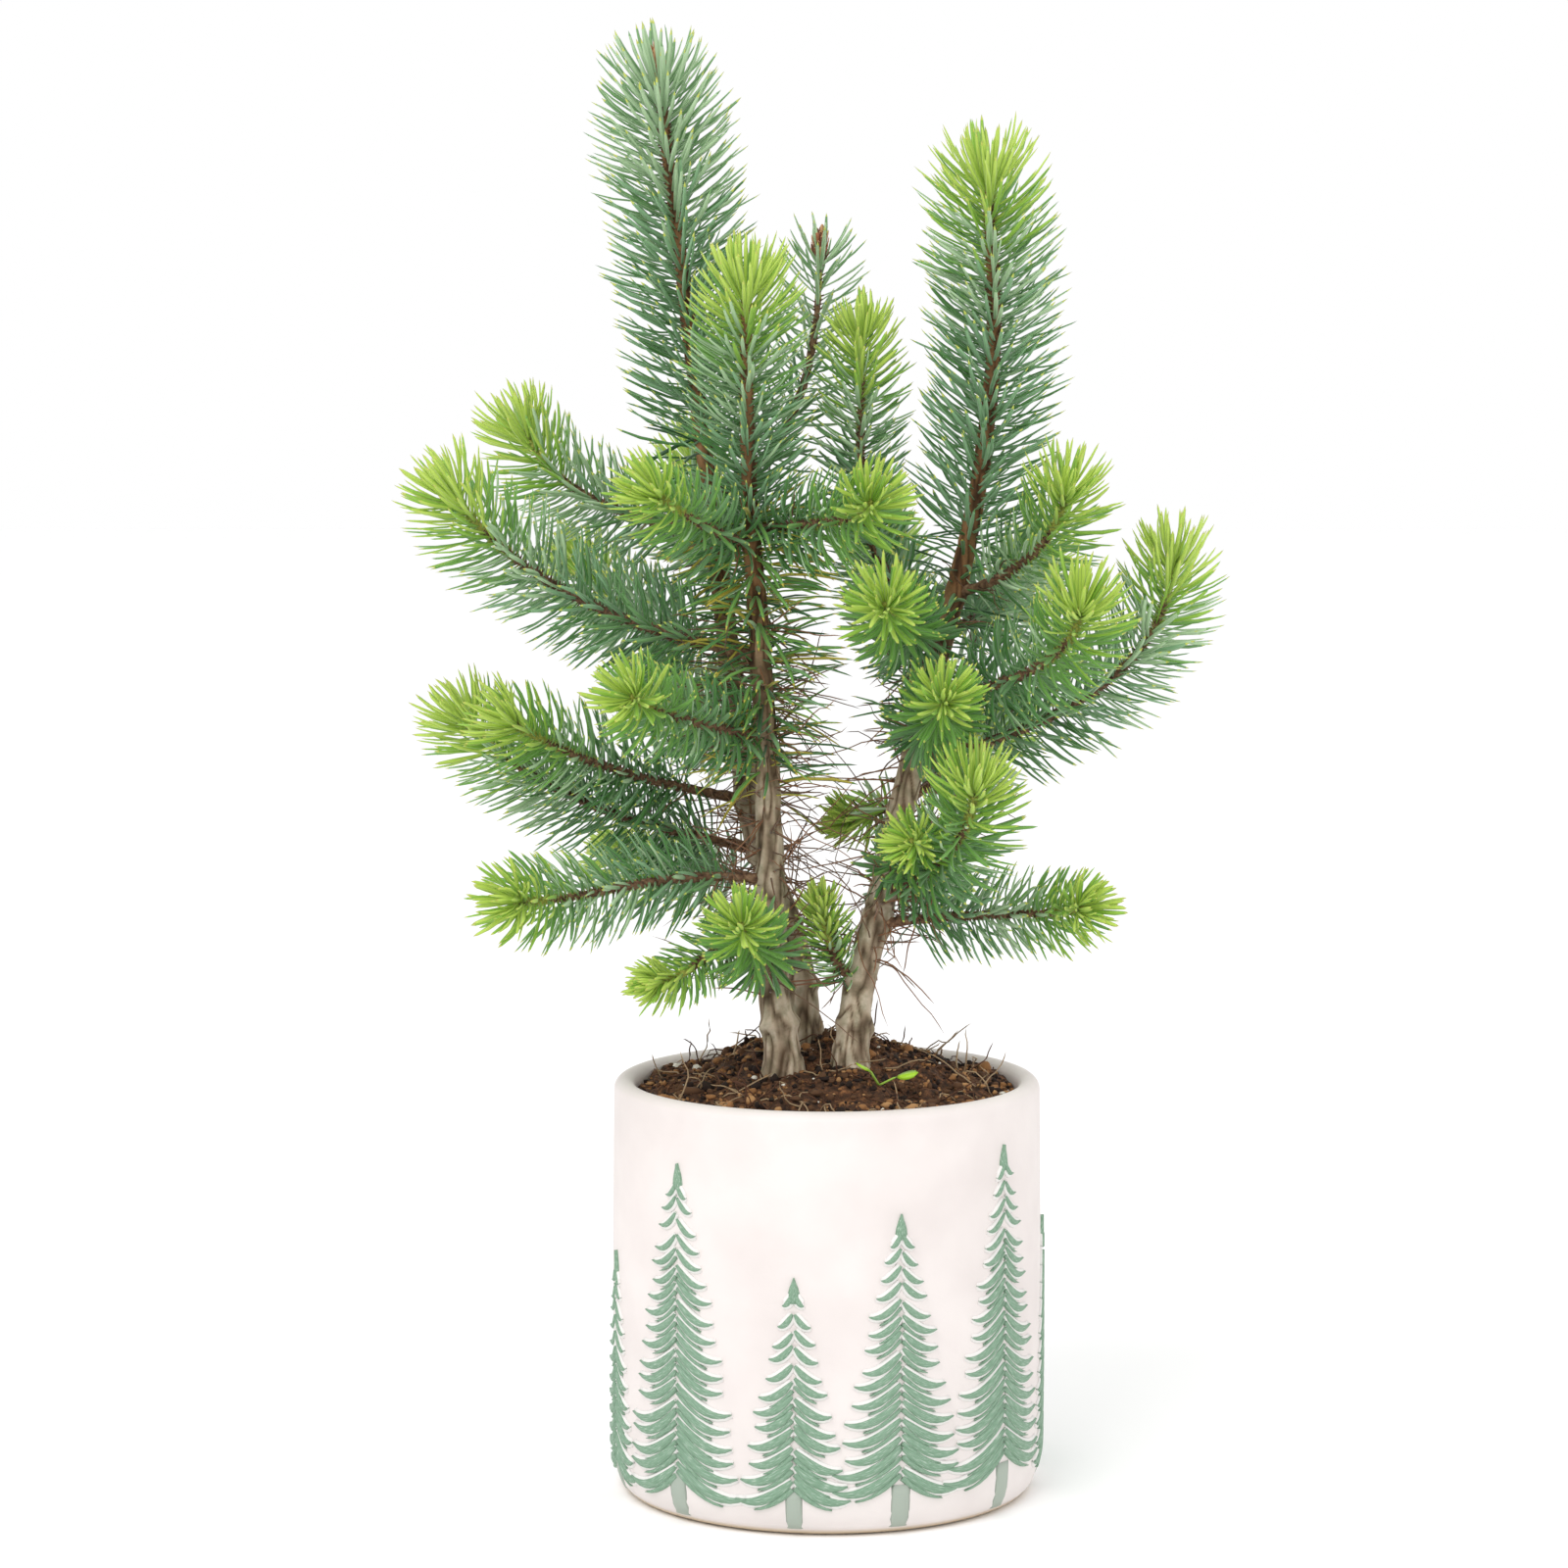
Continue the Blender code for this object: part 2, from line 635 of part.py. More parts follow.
def main():
    clear_scene()
    scene = bpy.context.scene
    plant = bpy.data.collections.new(PLANT)
    tools = bpy.data.collections.new("cutters")
    sprays = bpy.data.collections.new("sprays")
    for collection in (plant, tools, sprays):
        scene.collection.children.link(collection)

    ceramic = make_material("ceramic", "#eee6e3", 0.55)
    peat = make_material("peat", "#4a2f1e", 0.95)
    bark = make_material("bark", "#8d7763", 0.9)
    green = make_material("needles", "#6f9f7f", 0.5)

    pieces = [(make_pot(plant), ceramic), (make_soil(plant), peat)]
    cutters = {}
    for name in STEMS:
        stem = make_stem(name, plant)
        smooth_shading(stem, 50.0)
        pieces.append((stem, bark))
        cutters[name] = make_stem(name, tools, GAP)
        cutters[name].hide_render = True
        cutters[name].display_type = "WIRE"
    masses = lines_of_masses()
    limbs = limbs_to_clear()
    for name, row in SHOOTS.items():
        if row[4]:
            pieces.append((make_bough(name, cutters, plant), bark))
    for name in masses:
        mass = make_mass(name, masses, limbs, cutters, plant, sprays)
        pieces.append((mass, green))

    frame = bpy.data.objects.new(PLANT + "_frame", None)
    plant.objects.link(frame)
    for obj, material in pieces:
        obj.data.materials.clear()
        obj.data.materials.append(material)
        obj.parent = frame
    bpy.data.collections.remove(sprays)


main()
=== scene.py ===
# %% [markdown]
# # A young stone pine in a round pot
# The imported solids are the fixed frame: a pot, its soil, three stems, their boughs, and one mass of needles
# for each shoot. Every one of them is dressed here with a finer piece that stays in its place. The stems
# get fissured bark, the shoots grow single needles by the same spiral rule as the solids, the soil gets
# crumbs and roots, and the pot gets a low relief of trees. Loading the frame first gives every later cell
# the true places.

# %% Load the frame
import math

import bpy
import numpy as np
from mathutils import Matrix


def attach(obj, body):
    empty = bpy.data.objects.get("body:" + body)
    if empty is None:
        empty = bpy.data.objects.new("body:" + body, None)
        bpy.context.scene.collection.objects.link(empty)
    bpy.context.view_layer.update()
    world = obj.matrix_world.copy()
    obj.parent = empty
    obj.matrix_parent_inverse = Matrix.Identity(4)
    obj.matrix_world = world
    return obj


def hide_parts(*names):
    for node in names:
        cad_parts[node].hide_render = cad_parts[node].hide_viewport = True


MM = 0.001

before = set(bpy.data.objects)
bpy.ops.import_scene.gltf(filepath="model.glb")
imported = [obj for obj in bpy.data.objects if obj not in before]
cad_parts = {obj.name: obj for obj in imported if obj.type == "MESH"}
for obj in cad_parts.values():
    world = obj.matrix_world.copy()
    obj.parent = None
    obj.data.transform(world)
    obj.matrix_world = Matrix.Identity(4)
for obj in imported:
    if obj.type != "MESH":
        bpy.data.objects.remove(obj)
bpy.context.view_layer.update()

# %% [markdown]
# ## Camera
# The pot's rim is a circle, so the ellipse that it makes in a picture tells how far a camera looks down,
# and the narrowing of the pot tells how far away it stands. Both are matched by a camera 1.3 m away, a
# little left of the pot's axis, that looks down by six degrees through a long lens.

# %% Camera
CAMERA_PLACE = (-0.0128, -1.316, 0.3505)
CAMERA_DOWN = 6.02
LENS = 102.4

camera_data = bpy.data.cameras.new("camera")
camera_data.lens = LENS
camera_data.sensor_width = 36.0
camera = bpy.data.objects.new("camera", camera_data)
camera.location = CAMERA_PLACE
camera.rotation_euler = (math.radians(90 - CAMERA_DOWN), 0.0, 0.0)
bpy.context.scene.collection.objects.link(camera)
bpy.context.scene.camera = camera
print("camera", CAMERA_PLACE, "lens", LENS)

# %% [markdown]
# ## Materials by node
# A shader's colours are linear, but colours are picked as sRGB hex values, so one function turns one into
# the other. One more adds a node with its settings and links, which keeps each material's recipe short
# enough to read.

# %% Colour and node helpers
def linear(code):
    """An sRGB hex colour as linear red, green and blue, with alpha."""
    levels = np.array([int(code[i:i + 2], 16) for i in (1, 3, 5)]) / 255
    return (*np.where(levels <= 0.04045, levels / 12.92, ((levels + 0.055) / 1.055) ** 2.4), 1.0)


def add_node(material, kind, settings=(), **inputs):
    """Add one node. An input is a value or another node's output; the setting "stops" fills a colour ramp."""
    tree = material.node_tree
    made = tree.nodes.new(kind)
    settings = dict(settings)
    for i, (place, colour) in enumerate(settings.pop("stops", ())):
        elements = made.color_ramp.elements
        stop = elements[i] if i < 2 else elements.new(place)
        stop.position = place
        stop.color = linear(colour)
    for name, value in settings.items():
        setattr(made, name, value)
    for name, value in inputs.items():
        socket = made.inputs[name.replace("_", " ")]
        if isinstance(value, bpy.types.NodeSocket):
            tree.links.new(value, socket)
        else:
            socket.default_value = value
    return made


def new_material(name, colour, roughness, **inputs):
    """A Principled material with a plain colour, and whatever else is set or linked on the shader."""
    material = bpy.data.materials.new(name)
    material.use_nodes = True
    shader = material.node_tree.nodes["Principled BSDF"]
    shader.inputs["Base Color"].default_value = linear(colour)
    shader.inputs["Roughness"].default_value = roughness
    for socket, value in inputs.items():
        shader.inputs[socket.replace("_", " ")].default_value = value
    return material


def link_shader(material, **outputs):
    """Link node outputs to the Principled shader's sockets."""
    shader = material.node_tree.nodes["Principled BSDF"]
    for socket, output in outputs.items():
        material.node_tree.links.new(output, shader.inputs[socket.replace("_", " ")])


# %% [markdown]
# ## Studio
# The plant stands in bright, even light on a white ground, so nothing may draw the eye from it. A wide pale
# floor, a white surrounding light and two large soft lamps do this. The larger one, above and in front,
# models the round forms. The smaller one brightens the shaded side.

# %% Floor, surrounding light and lamps
def white_surroundings(strength):
    """Even white light from all sides."""
    world = bpy.data.worlds.new("white_surroundings")
    world.use_nodes = True
    background = world.node_tree.nodes["Background"]
    background.inputs["Color"].default_value = (1.0, 1.0, 1.0, 1.0)
    background.inputs["Strength"].default_value = strength
    bpy.context.scene.world = world


def soft_lamp(name, place, size, power):
    """A square lamp that faces the middle of the plant."""
    data = bpy.data.lights.new(name, "AREA")
    data.shape = "SQUARE"
    data.size = size
    data.energy = power
    lamp = bpy.data.objects.new(name, data)
    lamp.location = place
    aim = np.array((0.0, 0.0, 0.22)) - np.array(place)
    tilt = math.atan2(math.hypot(aim[0], aim[1]), -aim[2])
    lamp.rotation_euler = (tilt, 0.0, math.atan2(-aim[0], aim[1]))
    bpy.context.scene.collection.objects.link(lamp)


white_surroundings(1.0)
soft_lamp("large_lamp", (-0.7, -1.1, 1.7), 1.2, 15.0)
soft_lamp("small_lamp", (1.3, -0.8, 0.9), 0.9, 2.0)
bpy.context.scene.view_settings.view_transform = "Standard"

FLOOR_HALF = 6.0
floor_mesh = bpy.data.meshes.new("floor")
floor_mesh.from_pydata([(x, y, 0.0) for x, y in ((-1, -1), (1, -1), (1, 1), (-1, 1))], [], [(0, 1, 2, 3)])
floor_mesh.transform(((FLOOR_HALF, 0, 0, 0), (0, FLOOR_HALF, 0, 0), (0, 0, 1, 0), (0, 0, 0, 1)))
floor = bpy.data.objects.new("floor", floor_mesh)
floor.data.materials.append(new_material("matt_white_board", "#ffffff", 0.9))
bpy.context.scene.collection.objects.link(floor)
print("floor, surrounding light and two lamps")

# %% [markdown]
# ## Surfaces from arrays
# Each new piece is worked out with numpy as whole arrays. Nearly everything on a plant is a limb: rings of
# points round a path, closed at both ends by a point. A needle is the same with four long sides, made
# thousands at a time. A piece is many such parts, stacked into one mesh.

# %% Parts, pieces and smooth noise
def unit(vectors):
    """The same vectors, each one long."""
    return vectors / np.linalg.norm(vectors, axis=-1, keepdims=True)


def new_part(points, quads, tris, quad_slots=0, tri_slots=0, relief=0.0, uv=None):
    """Points in millimetres, faces as rows of point numbers, and the material slot of each face."""
    return {
        "points": points, "quads": quads, "tris": tris,
        "quad_slots": np.broadcast_to(quad_slots, len(quads)),
        "tri_slots": np.broadcast_to(tri_slots, len(tris)),
        "relief": np.broadcast_to(relief, len(points)),
        "uv": np.zeros((len(points), 2)) if uv is None else uv,
    }


def make_piece(name, parts, materials, replaced=()):
    """Stack parts into one mesh object that rides on the root body and stands for the named solids."""
    offsets = np.cumsum([0] + [len(p["points"]) for p in parts[:-1]])
    points, relief, uv = (np.concatenate([p[key] for p in parts]) for key in ("points", "relief", "uv"))
    quads = np.concatenate([p["quads"] + offset for p, offset in zip(parts, offsets)])
    tris = np.concatenate([p["tris"] + offset for p, offset in zip(parts, offsets)])
    slots = np.concatenate([p["quad_slots"] for p in parts] + [p["tri_slots"] for p in parts])
    loops = np.concatenate([quads.ravel(), tris.ravel()])
    sizes = np.concatenate([np.full(len(quads), 4), np.full(len(tris), 3)])

    mesh = bpy.data.meshes.new(name)
    mesh.vertices.add(len(points))
    mesh.vertices.foreach_set("co", (points * MM).ravel())
    mesh.loops.add(len(loops))
    mesh.loops.foreach_set("vertex_index", loops.astype(np.int32))
    mesh.polygons.add(len(sizes))
    mesh.polygons.foreach_set("loop_start", (np.cumsum(sizes) - sizes).astype(np.int32))
    mesh.polygons.foreach_set("material_index", slots.astype(np.int32))
    mesh.update(calc_edges=True)
    mesh.attributes.new("relief", "FLOAT", "POINT").data.foreach_set("value", relief.astype(np.float32))
    mesh.uv_layers.new(name="UVMap").data.foreach_set("uv", uv[loops].ravel().astype(np.float32))
    mesh.shade_smooth()

    piece = bpy.data.objects.new(name, mesh)
    bpy.context.scene.collection.objects.link(piece)
    for material in materials:
        mesh.materials.append(material)
    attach(piece, "root")
    if replaced:
        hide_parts(*replaced)
    print(name, "has", 2 * len(quads) + len(tris), "triangles")
    return piece


def smooth_noise(points, cell, seed):
    """Noise from 0 to 1: a random value at each corner of cells this wide in mm, blended smoothly."""
    scaled = points / cell
    base = np.floor(scaled).astype(int)
    share = scaled - base
    share = share * share * (3 - 2 * share)
    table = np.random.default_rng(seed).random(4096)
    total = 0.0
    for corner in np.ndindex(2, 2, 2):
        index = base + corner
        key = (index[..., 0] * 73 + index[..., 1] * 1759 + index[..., 2] * 9176) % 4096
        weight = np.prod(np.where(np.array(corner), share, 1 - share), axis=-1)
        total = total + weight * table[key]
    return total


# %% Closed tubes and slim blades
def closed_tube(rings, start, end, slots=0, relief=None, uv=None):
    """A skin over rings of points (rows, sides, 3) that run along a path, closed by a point at each end."""
    rows, sides = rings.shape[:2]
    ring = np.arange(rows * sides).reshape(rows, sides)
    ahead = np.roll(ring, -1, axis=1)
    quads = np.stack([ring[:-1], ahead[:-1], ahead[1:], ring[1:]], axis=-1).reshape(-1, 4)
    first = np.full(sides, rows * sides)
    tris = np.concatenate([
        np.stack([first, ahead[0], ring[0]], axis=-1),
        np.stack([first + 1, ring[-1], ahead[-1]], axis=-1)])
    points = np.concatenate([rings.reshape(-1, 3), [start, end]])
    if relief is None:
        relief = np.zeros((rows, sides))
    relief = np.concatenate([relief.ravel(), [relief[0].mean(), relief[-1].mean()]])
    if uv is not None:
        uv = np.concatenate([uv.reshape(-1, 2), [uv[0].mean(axis=0), uv[-1].mean(axis=0)]])
    quad_slots = np.repeat(np.broadcast_to(slots, rows)[:-1], sides)
    tri_slots = np.repeat(np.broadcast_to(slots, rows)[[0, -1]], sides)
    return new_part(points, quads, tris, quad_slots, tri_slots, relief, uv)


def ring_directions(path, sides):
    """Unit vectors out of a path, (rows, sides, 3), spaced evenly round it from one sideways way."""
    tangents = unit(np.gradient(path, axis=0))
    chord = unit(path[-1] - path[0])
    sideways = np.cross(chord, (0.0, 0.0, 1.0))
    if np.linalg.norm(sideways) < 0.35:
        sideways = np.array((1.0, 0.0, 0.0))
    normals = unit(sideways - tangents * (tangents @ sideways)[:, None])
    crosses = np.cross(tangents, normals)
    angles = np.linspace(0, 2 * np.pi, sides, endpoint=False)[None, :, None]
    return np.cos(angles) * normals[:, None] + np.sin(angles) * crosses[:, None]


def blades(paths, half_widths, thickness, facing, slots):
    """Many slim blades at once, each four-sided round its path and ending in a point.

    Paths are (count, stations, 3). The cross-section is a diamond: half_widths across, and thickness times
    that along facing, the way each blade's upper side looks. Slots holds each blade's material for its root, its
    upper side, its lower side and its tip.
    """
    count, stations = paths.shape[:2]
    tangents = unit(np.gradient(paths, axis=1))
    up = unit(facing[:, None] - tangents * (tangents * facing[:, None]).sum(axis=-1, keepdims=True))
    across = np.cross(up, tangents)
    half = np.broadcast_to(half_widths, (count, stations))[..., None]
    corners = np.stack([across, up * thickness, -across, -up * thickness], axis=2) * half[:, :, None]
    corners = (paths[:, :, None] + corners)[:, :-1]
    points = np.concatenate([corners.reshape(count, -1, 3), paths[:, -1:]], axis=1)
    size = points.shape[1]
    ring = np.arange(size - 1).reshape(-1, 4)
    ahead = np.roll(ring, -1, axis=1)
    quads = np.stack([ring[:-1], ahead[:-1], ahead[1:], ring[1:]], axis=-1).reshape(-1, 4)
    quads = np.concatenate([quads, ring[:1, ::-1]])
    tris = np.stack([ring[-1], ahead[-1], np.full(4, size - 1)], axis=-1)
    offset = (np.arange(count) * size)[:, None, None]
    root, upper, lower, tip = (np.broadcast_to(s, count) for s in slots)
    sides = np.stack([upper, upper, lower, lower], axis=1)
    root_slots = np.repeat(root[:, None], 4, axis=1)
    side_slots = np.tile(sides, stations - 3)
    quad_slots = np.concatenate([root_slots, side_slots, root[:, None]], axis=1)
    return new_part(
        points.reshape(-1, 3), (quads + offset).reshape(-1, 4), (tris + offset).reshape(-1, 3),
        quad_slots.ravel(), np.repeat(tip, 4))


print("helpers ready")

# %% [markdown]
# ## Where the limbs run
# The stems are smooth paths through a few points. A shoot is a cubic curve from its stem to its tip. It
# leaves the stem outwards and a little upwards and turns to the way its tip points. These tables are the
# ones the solids use, in millimetres, so each finer limb follows its solid.

# %% Stems and shoots
STEMS = {
    "front_stem": {
        "points": [
            (-13, -14, 127), (-16, -12, 155), (-17, -9, 195), (-19, -8, 242), (-23, -8, 300), (-24, -10, 357)],
        "foot": 5.0, "tip": 1.5, "leader": 293, "needle": 22.0, "collar": 142,
    },
    "rear_stem": {
        "points": [
            (-6, 12, 132), (-10, 14, 163), (-22, 16, 198), (-28, 18, 240), (-38, 21, 321), (-50, 25, 418)],
        "foot": 4.4, "tip": 1.5, "leader": 316, "needle": 25.0, "collar": 150,
    },
    "right_stem": {
        "points": [
            (7, -10, 129), (10, -6, 154), (17, -2, 182), (30, 3, 238),
            (43, 6, 290), (49, 6, 340), (47, 5, 388)],
        "foot": 4.8, "tip": 1.5, "leader": 288, "needle": 24.0, "collar": 141,
    },
}
FLARE = 1.7
FLARE_HEIGHT = 6.0
FLARE_RUN = 4.0

# Each shoot: its stem, the height of its root, its tip, the way the tip points (azimuth, elevation), the bare
# length at its root, and the length of its needles
SHOOTS = {
    "left_big": ("front_stem", 250, (-108, -20, 297), (205, 50), 26, 22),
    "left_high": ("rear_stem", 284, (-91, 30, 315), (165, 62), 18, 20),
    "left_inner": ("front_stem", 283, (-50, -38, 299), (225, 25), 0, 18),
    "left_front": ("front_stem", 226, (-56, -50, 242), (255, 20), 0, 18),
    "left_middle": ("rear_stem", 205, (-93, -12, 231), (205, 30), 28, 19),
    "left_rising": ("rear_stem", 190, (-108, 14, 229), (170, 45), 20, 20),
    "left_low": ("front_stem", 184, (-90, -40, 182), (235, 10), 20, 18),
    "foot_left": ("front_stem", 169, (-50, -30, 157), (215, 5), 0, 12),
    "foot_front": ("front_stem", 161, (-25, -48, 176), (265, 30), 0, 17),
    "centre_high": ("front_stem", 287, (12, -40, 297), (275, 30), 0, 18),
    "centre_upper": ("right_stem", 252, (16, -46, 268), (265, 25), 14, 18),
    "centre_middle": ("right_stem", 226, (33, -44, 241), (272, 25), 0, 17),
    "centre_low": ("right_stem", 186, (24, -38, 199), (240, 10), 0, 14),
    "centre_behind": ("right_stem", 204, (6, 12, 200), (225, 30), 0, 12),
    "right_front_low": ("right_stem", 180, (42, -44, 215), (275, 60), 16, 20),
    "right_front_big": ("right_stem", 236, (72, -42, 266), (275, 50), 22, 21),
    "right_high": ("right_stem", 268, (69, -15, 298), (275, 58), 16, 20),
    "right_far": ("right_stem", 218, (102, 5, 277), (85, 75), 34, 20),
    "right_low": ("right_stem", 170, (74, -25, 178), (290, 15), 14, 16),
    "between_stems": ("right_stem", 154, (-2, -14, 177), (240, 65), 0, 11),
    "thin_top": ("rear_stem", 297, (-2, 45, 367), (90, 82), 30, 18),
    "upright_centre": ("right_stem", 262, (10, 10, 344), (110, 80), 24, 17),
    "back_high": ("rear_stem", 272, (-40, 64, 305), (95, 50), 14, 20),
    "back_left_upper": ("rear_stem", 250, (-76, 60, 272), (135, 40), 18, 20),
    "back_right_upper": ("right_stem", 256, (64, 58, 274), (65, 40), 18, 20),
    "back_centre": ("right_stem", 244, (16, 66, 282), (95, 35), 18, 19),
    "back_left_middle": ("rear_stem", 218, (-50, 62, 238), (120, 25), 14, 19),
    "back_right_middle": ("right_stem", 206, (54, 60, 226), (70, 30), 18, 19),
    "back_left_low": ("rear_stem", 180, (-62, 50, 184), (150, 15), 16, 17),
    "back_right_low": ("right_stem", 178, (36, 50, 186), (75, 20), 14, 17),
}
ROOT_RISE = 12.0
ROOT_PULL = 0.42
TIP_PULL = 0.34


def spline(points, step):
    """A smooth path through a few points (Catmull-Rom), read off about every step."""
    knots = np.array(points, float)
    knots = np.vstack([2 * knots[0] - knots[1], knots, 2 * knots[-1] - knots[-2]])
    path = []
    for a, b, c, d in zip(knots[:-3], knots[1:-2], knots[2:-1], knots[3:]):
        count = max(2, int(round(np.linalg.norm(c - b) / step)))
        t = (np.arange(count) / count)[:, None]
        path.append(0.5 * (2 * b + (c - a) * t + (2 * a - 5 * b + 4 * c - d) * t ** 2
                           + (3 * b - a - 3 * c + d) * t ** 3))
    return np.vstack(path + [knots[-2:-1]])


def lengths_along(path):
    """How far along the path each of its points stands."""
    return np.concatenate([[0.0], np.cumsum(np.linalg.norm(np.diff(path, axis=0), axis=1))])


def read_path(path, lengths):
    """The points at the given lengths along a path."""
    along = lengths_along(path)
    return np.stack([np.interp(lengths, along, path[:, k]) for k in range(3)], axis=-1)


def stem_line(name):
    """A stem's middle line, with an upright start so that its foot is cut level."""
    points = STEMS[name]["points"]
    foot = points[0]
    raised = (foot[0], foot[1], foot[2] + FLARE_RUN)
    return np.vstack([[foot], spline([raised] + points[1:], 2.0)])


def stem_radius(name, along, total):
    """Even taper from foot to tip, plus the flare over the lowest few millimetres."""
    stem = STEMS[name]
    return stem["foot"] + (stem["tip"] - stem["foot"]) * along / total + FLARE * np.exp(-along / FLARE_HEIGHT)


def direction(azimuth, elevation):
    """The way that two angles in degrees give, round from x and up from level, as a vector of length 1."""
    azimuth, elevation = math.radians(azimuth), math.radians(elevation)
    level = math.cos(elevation)
    return np.array([level * math.cos(azimuth), level * math.sin(azimuth), math.sin(elevation)])


def shoot_line(name):
    """A shoot's middle line: a cubic curve from the stem's middle to the tip."""
    stem, height, tip, heading, _, _ = SHOOTS[name]
    line = stem_line(stem)
    root = np.array([np.interp(height, line[:, 2], line[:, k]) for k in range(3)])
    tip = np.array(tip, float)
    span = np.linalg.norm(tip - root)
    outward = math.degrees(math.atan2(tip[1] - root[1], tip[0] - root[0]))
    first = root + direction(outward, ROOT_RISE) * span * ROOT_PULL
    second = tip - direction(*heading) * span * TIP_PULL
    t = np.linspace(0, 1, 60)[:, None]
    return root * (1 - t) ** 3 + 3 * first * t * (1 - t) ** 2 + 3 * second * t ** 2 * (1 - t) + tip * t ** 3


print("stems:", len(STEMS), "shoots:", len(SHOOTS))

# %% [markdown]
# ## Bark
# The bark of a young pine is grey-brown, split lengthwise into thin plates, and darker in the splits.
# Relief alone would look like painted clay, so the same depth that shapes the surface is kept as an
# attribute and picks the colour too. Higher up the stem the bark is younger and browner.

# %% Bark material
def bark_material():
    """Fissured grey-brown bark: colour by depth, mottled by a noise a few millimetres wide."""
    material = new_material("fissured_bark", "#8f7b66", 0.9)
    depth = add_node(material, "ShaderNodeAttribute", {"attribute_name": "relief"})
    place = add_node(material, "ShaderNodeTexCoord")
    mottle = add_node(
        material, "ShaderNodeTexNoise", Vector=place.outputs["Object"], Scale=260.0, Detail=4.0, Roughness=0.6)
    plates = add_node(
        material, "ShaderNodeValToRGB",
        {"stops": [(0.12, "#57432f"), (0.45, "#9a8670"), (0.72, "#b8a58e"), (0.95, "#d0c1ac")]},
        Fac=depth.outputs["Fac"])
    stain = add_node(
        material, "ShaderNodeValToRGB", {"stops": [(0.35, "#8d9a80"), (0.6, "#ffffff")]},
        Fac=mottle.outputs["Fac"])
    worn = add_node(
        material, "ShaderNodeMixRGB", {"blend_type": "MULTIPLY"},
        Fac=0.55, Color1=plates.outputs["Color"], Color2=stain.outputs["Color"])
    height = add_node(material, "ShaderNodeSeparateXYZ", Vector=place.outputs["Object"])
    youth = add_node(
        material, "ShaderNodeMapRange", Value=height.outputs["Z"], From_Min=0.2, From_Max=0.27)
    young = add_node(
        material, "ShaderNodeMixRGB", {"blend_type": "MULTIPLY"},
        Fac=youth.outputs["Result"], Color1=worn.outputs["Color"], Color2=linear("#c79f7c"))
    bump = add_node(material, "ShaderNodeBump", Height=mottle.outputs["Fac"], Strength=0.5, Distance=0.0004)
    link_shader(material, Base_Color=young.outputs["Color"], Normal=bump.outputs["Normal"])
    return material


bark = bark_material()
print("bark material ready")

# %% [markdown]
# ## Stems
# Each stem is one limb from the soil to its tip. Its splits come from a noise stretched along the stem:
# where the noise crosses its middle value there is a line, and a line that runs lengthwise is a split. A
# collar near the foot marks where the first year's growth ended, and each shoot swells the bark at its
# root.

# %% Stems with relief
STEM_SIDES = 60
STEM_STEP = 0.9
BARK_DEPTH = 0.75
BARK_STRETCH = 0.16
FOOT_SUNK = 3.0
COLLAR_SWELL = 2.08
COLLAR_HEIGHT = 2.2
ROOT_SWELL = 1.1
ROOT_HEIGHT = 3.4


def stem_part(name, seed):
    """A stem: its radius plus split bark, a collar and swellings, each a smooth hump of a few millimetres."""
    stem = STEMS[name]
    line = stem_line(name)
    total = lengths_along(line)[-1]
    along = np.linspace(0, total, int(total / STEM_STEP))
    path = read_path(line, along)
    radii = stem_radius(name, along, total)
    out = ring_directions(path, STEM_SIDES)
    skin = path[:, None] + out * radii[:, None, None]
    stretched = skin * (1.0, 1.0, BARK_STRETCH) + smooth_noise(skin, 9.0, seed + 1)[..., None] * 2.0
    split = np.clip(np.abs(2 * smooth_noise(stretched, 1.9, seed) - 1) / 0.4, 0, 1)
    plate = smooth_noise(stretched, 0.8, seed + 2)
    depth = 0.72 * split + 0.28 * plate
    slim = (radii / stem["foot"])[:, None]
    collar = np.exp(-((path[:, 2] - stem["collar"]) / COLLAR_HEIGHT) ** 2)[:, None]
    swell = COLLAR_SWELL * collar * smooth_noise(skin, 3.0, seed + 3)
    for shoot, row in SHOOTS.items():
        if row[0] == name:
            root_way = shoot_line(shoot)[8] - shoot_line(shoot)[0]
            side = np.clip((out * unit(root_way * (1, 1, 0))).sum(axis=-1), 0, 1) ** 3
            swell = swell + ROOT_SWELL * side * np.exp(-((path[:, 2] - row[1]) / ROOT_HEIGHT) ** 2)[:, None]
    rings = skin + out * ((depth - 0.6) * BARK_DEPTH * slim + swell)[..., None]
    rings = np.concatenate([rings[:1] - (0, 0, FOOT_SUNK), rings])
    depth = np.concatenate([depth[:1], depth])
    return closed_tube(rings, path[0] - (0, 0, FOOT_SUNK), path[-1] + unit(path[-1] - path[-2]), 0, depth)


for seed, name in enumerate(STEMS):
    make_piece(name + "_bark", [stem_part(name, 10 * seed)], [bark], [name])

# %% [markdown]
# ## Shoot axes
# A side shoot is one slim limb. Its root is bare brown bark, and near the tip, where it grew this year, it
# is yellow-green and soft. The needles leave small pegs on it when they fall, so its skin is rough.

# %% Shoot axes
YOUNG_AXIS = 13.0
AXIS_SIDES = 10


def twig_material():
    """Brown twig bark: dark cracks between paler plates, by a noise about 1.4 mm wide."""
    material = new_material("brown_twig_bark", "#6e5039", 0.9)
    place = add_node(material, "ShaderNodeTexCoord")
    plates = add_node(
        material, "ShaderNodeTexNoise", Vector=place.outputs["Object"], Scale=700.0, Detail=3.0)
    tone = add_node(
        material, "ShaderNodeValToRGB", {"stops": [(0.3, "#3e2a1d"), (0.5, "#755640"), (0.75, "#a08264")]},
        Fac=plates.outputs["Fac"])
    link_shader(material, Base_Color=tone.outputs["Color"])
    return material


brown_twig = twig_material()
green_twig = new_material("soft_green_twig", "#a9a94f", 0.6)


